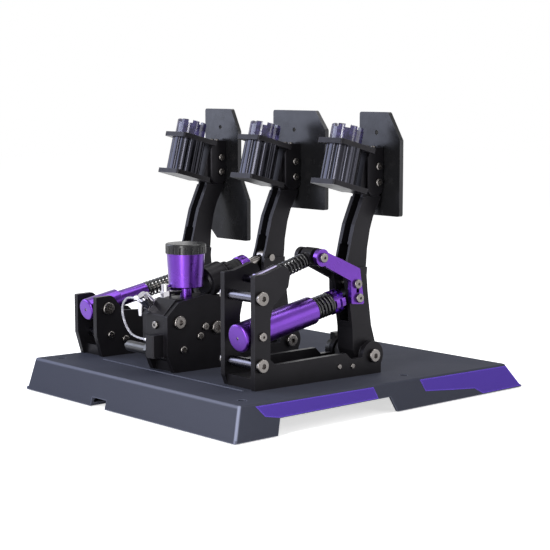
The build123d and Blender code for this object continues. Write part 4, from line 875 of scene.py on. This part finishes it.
@dataclass
class BrakeHose:
    """The thin pale hose, held at both ends, from the rear port up to the shoulder union."""

    material: bpy.types.Material
    radius: float = 1.15 * MM
    route: tuple[tuple[float, float, float], ...] = (
        (26.4, 149.2, 65.7), (42.4, 149.2, 65.7), (55.9, 149.2, 70.2), (65.7, 149.0, 83.5),
        (68.5, 148.0, 95.5), (64.5, 146.0, 103.4), (57.9, 144.45, 104.9), (48.9, 144.45, 104.9),
    )
    order: int = 3
    run_steps: int = 14
    wall_steps: int = 4
    weld: float = 0.001 * MM

    def build(self) -> None:
        """Sweep the hose's wall along one smooth spline."""
        line = bpy.data.curves.new("brake_hose_line", "CURVE")
        line.dimensions = "3D"
        spline = line.splines.new("NURBS")
        spline.points.add(len(self.route) - 1)
        for point, place in zip(spline.points, self.route):
            point.co = (*(v * MM for v in place), 1.0)
        spline.order_u = self.order
        spline.use_endpoint_u = True
        line.resolution_u = self.run_steps
        line.bevel_depth = self.radius
        line.bevel_resolution = self.wall_steps
        line.use_fill_caps = True
        holder = placed("brake_hose_line", line)
        graph = bpy.context.evaluated_depsgraph_get()
        mesh = bpy.data.meshes.new_from_object(holder.evaluated_get(graph))
        bpy.data.objects.remove(holder)
        shape = bmesh.new()
        shape.from_mesh(mesh)
        bpy.data.meshes.remove(mesh)
        bmesh.ops.remove_doubles(shape, verts=shape.verts, dist=self.weld)
        piece = mesh_piece("pale_brake_hose", shape, self.material)
        close_piece(piece, Body.FRAME, Slot.HOSE, "brake_hose")


@dataclass
class MotorCans:
    """The three vibration motors' fluted cans, with the boss that carries the crown."""

    material: bpy.types.Material
    radius: float = 18.2 * MM
    height: float = 36.0 * MM
    flutes: float = 10.0
    flute_depth: float = 1.5 * MM
    flute_sharpness: float = 2.0
    boss_radius: float = 10.6 * MM
    boss_top: float = 23.0 * MM
    boss_length: float = 12.0 * MM
    boss_sides: int = 64
    tilt: float = radians(14.6)
    middle: tuple[float, float] = (4.0 * MM, 240.5 * MM)
    sides: int = 240
    crease: float = radians(32.0)
    motors: tuple[tuple[str, float, Body], ...] = (
        ("clutch", -102.1 * MM, Body.CLUTCH_PEDAL), ("brake", 20.9 * MM, Body.BRAKE_PEDAL),
        ("throttle", 143.9 * MM, Body.THROTTLE_PEDAL),
    )

    def rule(self) -> GeometryRule:
        """Return the rule of a can whose wall is pressed into rounded lobes."""
        rule = GeometryRule("fluted_can")
        radius, height, flutes, depth, boss, length, top = (rule.size(name) for name in (
            "Radius", "Height", "Flutes", "Flute depth", "Boss radius", "Boss length", "Boss top"))
        wall = rule.step("GeometryNodeMeshCylinder", {
            "Vertices": self.sides, "Radius": radius, "Depth": height}).outputs["Mesh"]
        here = rule.step("ShaderNodeSeparateXYZ", {0: rule.step("GeometryNodeInputPosition").outputs[0]})
        angle = rule.maths("ARCTAN2", here.outputs["Y"], here.outputs["X"])
        half_wave = rule.maths("MULTIPLY", rule.maths("MULTIPLY", angle, flutes), 0.5)
        crest = rule.maths("ABSOLUTE", rule.maths("SINE", half_wave))
        groove = rule.maths("POWER", rule.maths("SUBTRACT", 1.0, crest), self.flute_sharpness)
        pressed = rule.maths("SUBTRACT", radius, rule.maths("MULTIPLY", groove, depth))
        place = rule.point(rule.maths("MULTIPLY", rule.maths("COSINE", angle), pressed),
                           rule.maths("MULTIPLY", rule.maths("SINE", angle), pressed), here.outputs["Z"])
        can = rule.step("GeometryNodeSetPosition", {"Geometry": wall, "Position": place}).outputs[0]
        peg = rule.step("GeometryNodeMeshCylinder", {
            "Vertices": self.boss_sides, "Radius": boss, "Depth": length}).outputs["Mesh"]
        lift = rule.point(0.0, 0.0, rule.maths("SUBTRACT", top, rule.maths("MULTIPLY", length, 0.5)))
        peg = rule.step("GeometryNodeTransform", {"Geometry": peg, "Translation": lift}).outputs[0]
        both = rule.step("GeometryNodeJoinGeometry", {"Geometry": can})
        rule.tree.links.new(peg, both.inputs["Geometry"])
        rule.close(both.outputs[0], self.material)
        return rule

    def build(self) -> None:
        """Make one can for each pedal."""
        rule = self.rule()
        for name, across, body in self.motors:
            place = Matrix.Translation((across, *self.middle)) @ Matrix.Rotation(self.tilt, 4, "X")
            piece = rule.make(f"{name}_fluted_can", place, Radius=self.radius, Height=self.height,
                              Flutes=self.flutes, Flute_depth=self.flute_depth,
                              Boss_radius=self.boss_radius, Boss_length=self.boss_length,
                              Boss_top=self.boss_top)
            piece.data.set_sharp_from_angle(angle=self.crease)
            close_piece(piece, body, Slot.PLASTIC, f"{name}_motor")


@dataclass
class FootPads:
    """Four rubber pads under the tray's lips, each with cross ribs on its sole."""

    material: bpy.types.Material
    size: tuple[float, float] = (34.5 * MM, 12.0 * MM)
    corner: float = 3.0 * MM
    corner_steps: int = 5
    sole_height: float = 0.35 * MM
    sole_chamfer: float = 0.3 * MM
    rib_width: float = 1.6 * MM
    rib_inset: float = 1.2 * MM
    rib_root: float = 0.1 * MM
    rib_chamfer: tuple[float, float] = (0.1 * MM, 0.15 * MM)
    rib_end_flat: float = 0.01 * MM
    ribs: int = 8

    def loop(self, middle: Vector, size: tuple[float, float], corner: float,
             height: float) -> list[Vector]:
        """Return the points of a rounded rectangle.

        Args:
            middle: Its middle, at any height.
            size: Its length and width.
            corner: Its corner radius.
            height: The height that it lies at.

        Returns:
            The points in order.
        """
        points = []
        for quarter, (sx, sy) in enumerate(((1, 1), (-1, 1), (-1, -1), (1, -1))):
            for step in range(self.corner_steps + 1):
                angle = (quarter + step / self.corner_steps) * pi / 2
                points.append(Vector((middle.x + sx * (size[0] / 2 - corner) + corner * cos(angle),
                                      middle.y + sy * (size[1] / 2 - corner) + corner * sin(angle), height)))
        return points

    def slab(self, shape: bmesh.types.BMesh, middle: Vector, size: tuple[float, float], corner: float,
             levels: tuple[tuple[float, float], ...]) -> None:
        """Add a rounded slab through loops of the given heights and insets.

        Args:
            shape: The bmesh to add to.
            middle: The slab's middle.
            size: Its length and width.
            corner: Its corner radius.
            levels: The height and inset of each loop, from the top down.
        """
        loops = [[shape.verts.new(p) for p in
                  self.loop(middle, (size[0] - 2 * inset, size[1] - 2 * inset), corner - inset, height)]
                 for height, inset in levels]
        count = len(loops[0])
        for high, low in zip(loops, loops[1:]):
            for i in range(count):
                shape.faces.new((high[i], high[(i + 1) % count], low[(i + 1) % count], low[i]))
        shape.faces.new(loops[0])
        shape.faces.new(loops[-1])

    def build(self) -> None:
        """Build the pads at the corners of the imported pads' box."""
        low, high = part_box("foot_pads")
        shape = bmesh.new()
        for x in (low[0] + self.size[0] / 2, high[0] - self.size[0] / 2):
            for y in (low[1] + self.size[1] / 2, high[1] - self.size[1] / 2):
                middle = Vector((x, y, 0.0))
                top, sole = high[2], low[2] + self.sole_height
                self.slab(shape, middle, self.size, self.corner,
                          ((top, 0.0), (sole + self.sole_chamfer, 0.0), (sole, self.sole_chamfer)))
                pitch = (self.size[0] - 2 * self.corner) / (self.ribs - 1)
                rise, inset = self.rib_chamfer
                for rib in range(self.ribs):
                    place = middle + Vector((pitch * (rib - (self.ribs - 1) / 2), 0.0, 0.0))
                    self.slab(shape, place, (self.rib_width, self.size[1] - 2 * self.rib_inset),
                              self.rib_width / 2 - self.rib_end_flat,
                              ((sole + self.rib_root, 0.0), (low[2] + rise, 0.0), (low[2], inset)))
        piece = mesh_piece("ribbed_foot_pads", shape, self.material, smooth=False)
        close_piece(piece, Body.FRAME, Slot.RUBBER, "foot_pads")


@dataclass
class FlangeBands:
    """The purple film bands on the tray's two side flanges, with sizes in millimetres."""

    material: bpy.types.Material
    half_width: float = 170.0
    middle: float = -0.6
    lean: float = 4.2 / 34.1
    proud: float = 0.09
    sunk: float = 0.1
    outlines: tuple[tuple[tuple[float, float], ...], ...] = (
        ((172.5, 31.4), (21.5, 29.2), (15.8, 17.5), (145.5, 17.5), (162.0, 20.8)),
        ((-43.8, 28.1), (-175.4, 25.9), (-197.4, 2.3), (-136.6, 2.3), (-124.0, 9.0), (-88.0, 12.2),
         (-51.0, 15.8)),
    )

    def on_flange(self, side: int, y: float, z: float, off: float) -> Vector:
        """Return a point that stands off the flange's outer face."""
        x = self.middle + side * (self.half_width - z * self.lean + off)
        return Vector((x, y, z)) * MM

    def build(self) -> None:
        """Lay both bands on each flange, as thin closed films."""
        for side, name in ((-1, "left_flange_bands"), (1, "right_flange_bands")):
            shape = bmesh.new()
            for outline in self.outlines:
                outer = [shape.verts.new(self.on_flange(side, y, z, self.proud)) for y, z in outline]
                inner = [shape.verts.new(self.on_flange(side, y, z, -self.sunk)) for y, z in outline]
                shape.faces.new(outer)
                shape.faces.new(inner)
                for i in range(len(outline)):
                    j = (i + 1) % len(outline)
                    shape.faces.new((outer[i], outer[j], inner[j], inner[i]))
            close_piece(mesh_piece(name, shape, self.material, smooth=False), Body.FRAME, Slot.PURPLE)


@dataclass
class CapPins:
    """The small bright pins in the middle of the damper caps."""

    material: bpy.types.Material
    radius: float = 1.5 * MM
    dome: float = 0.5 * MM
    depth: float = 1.6 * MM
    recess: float = 0.25 * MM
    dome_steps: int = 6
    sides: int = 24
    caps: tuple[tuple[str, str, Strut, Body], ...] = (
        ("clutch_cap_pin", "clutch_damper_cap", CLUTCH_STRUT, Body.CLUTCH_DAMPER),
        ("throttle_cap_pin", "throttle_damper_cap", THROTTLE_STRUT, Body.THROTTLE_DAMPER),
    )

    def profile(self) -> list[tuple[float, float]]:
        """Return the pin's section, domed at its low end."""
        angles = [step * pi / (2 * self.dome_steps) for step in range(self.dome_steps + 1)]
        dome = [(self.radius * sin(angle), self.dome * (1.0 - cos(angle))) for angle in angles]
        return dome + [(self.radius, self.depth), (0.0, self.depth)]

    def build(self) -> None:
        """Set one pin in each cap's centre hole."""
        for name, node, strut, body in self.caps:
            cap = frame["nodes"][node].data
            face = min((v.co - strut.point(0.0)).dot(strut.axis()) for v in cap.vertices)
            shape = turned(self.profile(), self.sides, strut.place(face + self.recess))
            close_piece(mesh_piece(name, shape, self.material), body, Slot.STAINLESS)


@dataclass
class PhotographView:
    """The camera, placed as the photograph was taken."""

    azimuth: float = radians(228.244)
    elevation: float = radians(7.146)
    lens: float = 100.92
    sensor: float = 36.0
    distance: float = 1616.284 * MM
    side_step: float = -0.411 * MM
    aim: tuple[float, float, float] = (-0.6 * MM, 0.0, 121.091 * MM)

    def axes(self) -> tuple[Vector, Vector, Vector]:
        """Return the view's right, up and backward directions."""
        right = Vector((cos(self.azimuth), sin(self.azimuth), 0.0))
        back = Vector((sin(self.azimuth) * cos(self.elevation),
                       -cos(self.azimuth) * cos(self.elevation), sin(self.elevation)))
        return right, back.cross(right), back

    def target(self) -> Vector:
        """Return the point that the camera looks at."""
        right, _, _ = self.axes()
        return Vector(self.aim) + right * self.side_step

    def build(self) -> None:
        """Create the camera and make it the scene's."""
        right, up, back = self.axes()
        data = bpy.data.cameras.new("photograph_view")
        data.lens = self.lens
        data.sensor_width = self.sensor
        camera = placed("photograph_view", data)
        turn = Matrix((right, up, back)).transposed().to_4x4()
        camera.matrix_world = Matrix.Translation(self.target() + back * self.distance) @ turn
        bpy.context.scene.camera = camera


@dataclass(frozen=True)
class Softbox:
    """One area lamp, placed from the camera's point of view."""

    name: str
    right: float
    up: float
    back: float
    width: float
    height: float
    energy: float
    colour: Colour = (1.0, 1.0, 1.0)

    def build(self, view: PhotographView) -> None:
        """Create the lamp, turned towards the object.

        Args:
            view: The view whose axes place the lamp.
        """
        right, up, back = view.axes()
        data = bpy.data.lights.new(self.name, "AREA")
        data.shape = "RECTANGLE"
        data.size = self.width
        data.size_y = self.height
        data.energy = self.energy
        data.color = self.colour
        lamp = placed(self.name, data)
        lamp.location = view.target() + right * self.right + up * self.up + back * self.back
        lamp.rotation_euler = (lamp.location - view.target()).to_track_quat("Z", "Y").to_euler()


@dataclass
class Studio:
    """The white room: world, floor and softboxes."""

    floor_size: float = 9.0
    floor_thickness: float = 20.0 * MM
    ambient: float = 0.42
    floor_glow: float = 0.64
    floor_colour: tuple[Colour, Colour] = ((0.85, 0.85, 0.85), (0.87, 0.87, 0.87))
    floor_roughness: float = 0.9
    floor_grain: Pattern = Pattern(3.0, 2.0)
    boxes: tuple[Softbox, ...] = (
        Softbox("near_left_strip", -0.29, 0.10, 0.62, 0.14, 0.58, 3.7),
        Softbox("near_right_strip", 0.60, 0.12, 0.55, 0.15, 0.5, 0.95),
        Softbox("left_softbox", -0.78, 0.28, -0.05, 0.6, 0.42, 4.4, (0.74, 0.80, 1.0)),
        Softbox("right_softbox", 1.42, 0.30, 0.14, 0.8, 0.7, 3.2),
        Softbox("top_softbox", 0.50, 1.25, -0.30, 1.1, 0.6, 9.3),
    )

    @staticmethod
    def seen_directly(tree: bpy.types.NodeTree) -> bpy.types.NodeSocket:
        """Return a mask of the rays that show the background: camera, mirror and glass rays."""
        path = tree.nodes.new("ShaderNodeLightPath")
        total = path.outputs["Is Camera Ray"]
        for ray in ("Is Glossy Ray", "Is Transmission Ray"):
            either = tree.nodes.new("ShaderNodeMath")
            either.operation = "MAXIMUM"
            tree.links.new(total, either.inputs[0])
            tree.links.new(path.outputs[ray], either.inputs[1])
            total = either.outputs[0]
        return total

    def build_world(self) -> None:
        """Create a world that is white to look at and softer as a lamp."""
        world = bpy.data.worlds.new("white_room")
        world.use_nodes = True
        tree = world.node_tree
        background = tree.nodes["Background"]
        background.inputs["Color"].default_value = (1.0, 1.0, 1.0, 1.0)
        strength = tree.nodes.new("ShaderNodeMapRange")
        strength.inputs["To Min"].default_value = self.ambient
        strength.inputs["To Max"].default_value = 1.0
        tree.links.new(self.seen_directly(tree), strength.inputs["Value"])
        tree.links.new(strength.outputs["Result"], background.inputs["Strength"])
        bpy.context.scene.world = world

    def build_floor(self) -> None:
        """Create the white floor, which keeps the object's soft shadow."""
        sheet = NodeSheet("white_floor")
        sheet.set(Roughness=self.floor_roughness, Specular_IOR_Level=0.0)
        dull, pale = self.floor_colour
        sheet.paint(sheet.lay(dull, sheet.noise(self.floor_grain), pale))
        sheet.shader.inputs["Emission Color"].default_value = (1.0, 1.0, 1.0, 1.0)
        glow = sheet.add("ShaderNodeMath", operation="MULTIPLY")
        glow.inputs[1].default_value = self.floor_glow
        sheet.join(self.seen_directly(sheet.tree), glow.inputs[0])
        sheet.join(glow.outputs[0], sheet.shader.inputs["Emission Strength"])
        mesh = bpy.data.meshes.new("studio_floor")
        shape = bmesh.new()
        bmesh.ops.create_cube(shape, size=1.0)
        size = (self.floor_size, self.floor_size, self.floor_thickness)
        bmesh.ops.scale(shape, verts=shape.verts, vec=size)
        middle = (0.0, 0.0, cad_box[0][2] - self.floor_thickness / 2)
        bmesh.ops.translate(shape, verts=shape.verts, vec=middle)
        shape.to_mesh(mesh)
        shape.free()
        mesh.materials.append(sheet.material)
        placed("studio_floor", mesh)

    def build(self, view: PhotographView) -> None:
        """Build the world, floor and lamps.

        Args:
            view: The view that the lamps are placed by.
        """
        self.build_world()
        self.build_floor()
        for box in self.boxes:
            box.build(view)


def main() -> None:
    """Build the view, the studio, the finishes and the pieces, in order."""
    logging.basicConfig(level=logging.INFO)
    bpy.context.scene.view_settings.view_transform = "Standard"
    view = PhotographView()
    view.build()
    Studio().build(view)
    finishes = FinishRack().dress(frame["nodes"])
    SpringWinder(finishes[Slot.SPRING]).build()
    BrakeElastomer(finishes[Slot.RUBBER]).build()
    BrakeHose(finishes[Slot.HOSE]).build()
    MotorCans(finishes[Coat.MOTOR]).build()
    FootPads(finishes[Slot.RUBBER]).build()
    FlangeBands(finishes[Coat.BAND]).build()
    CapPins(finishes[Slot.STAINLESS]).build()


if __name__ == "__main__":
    main()
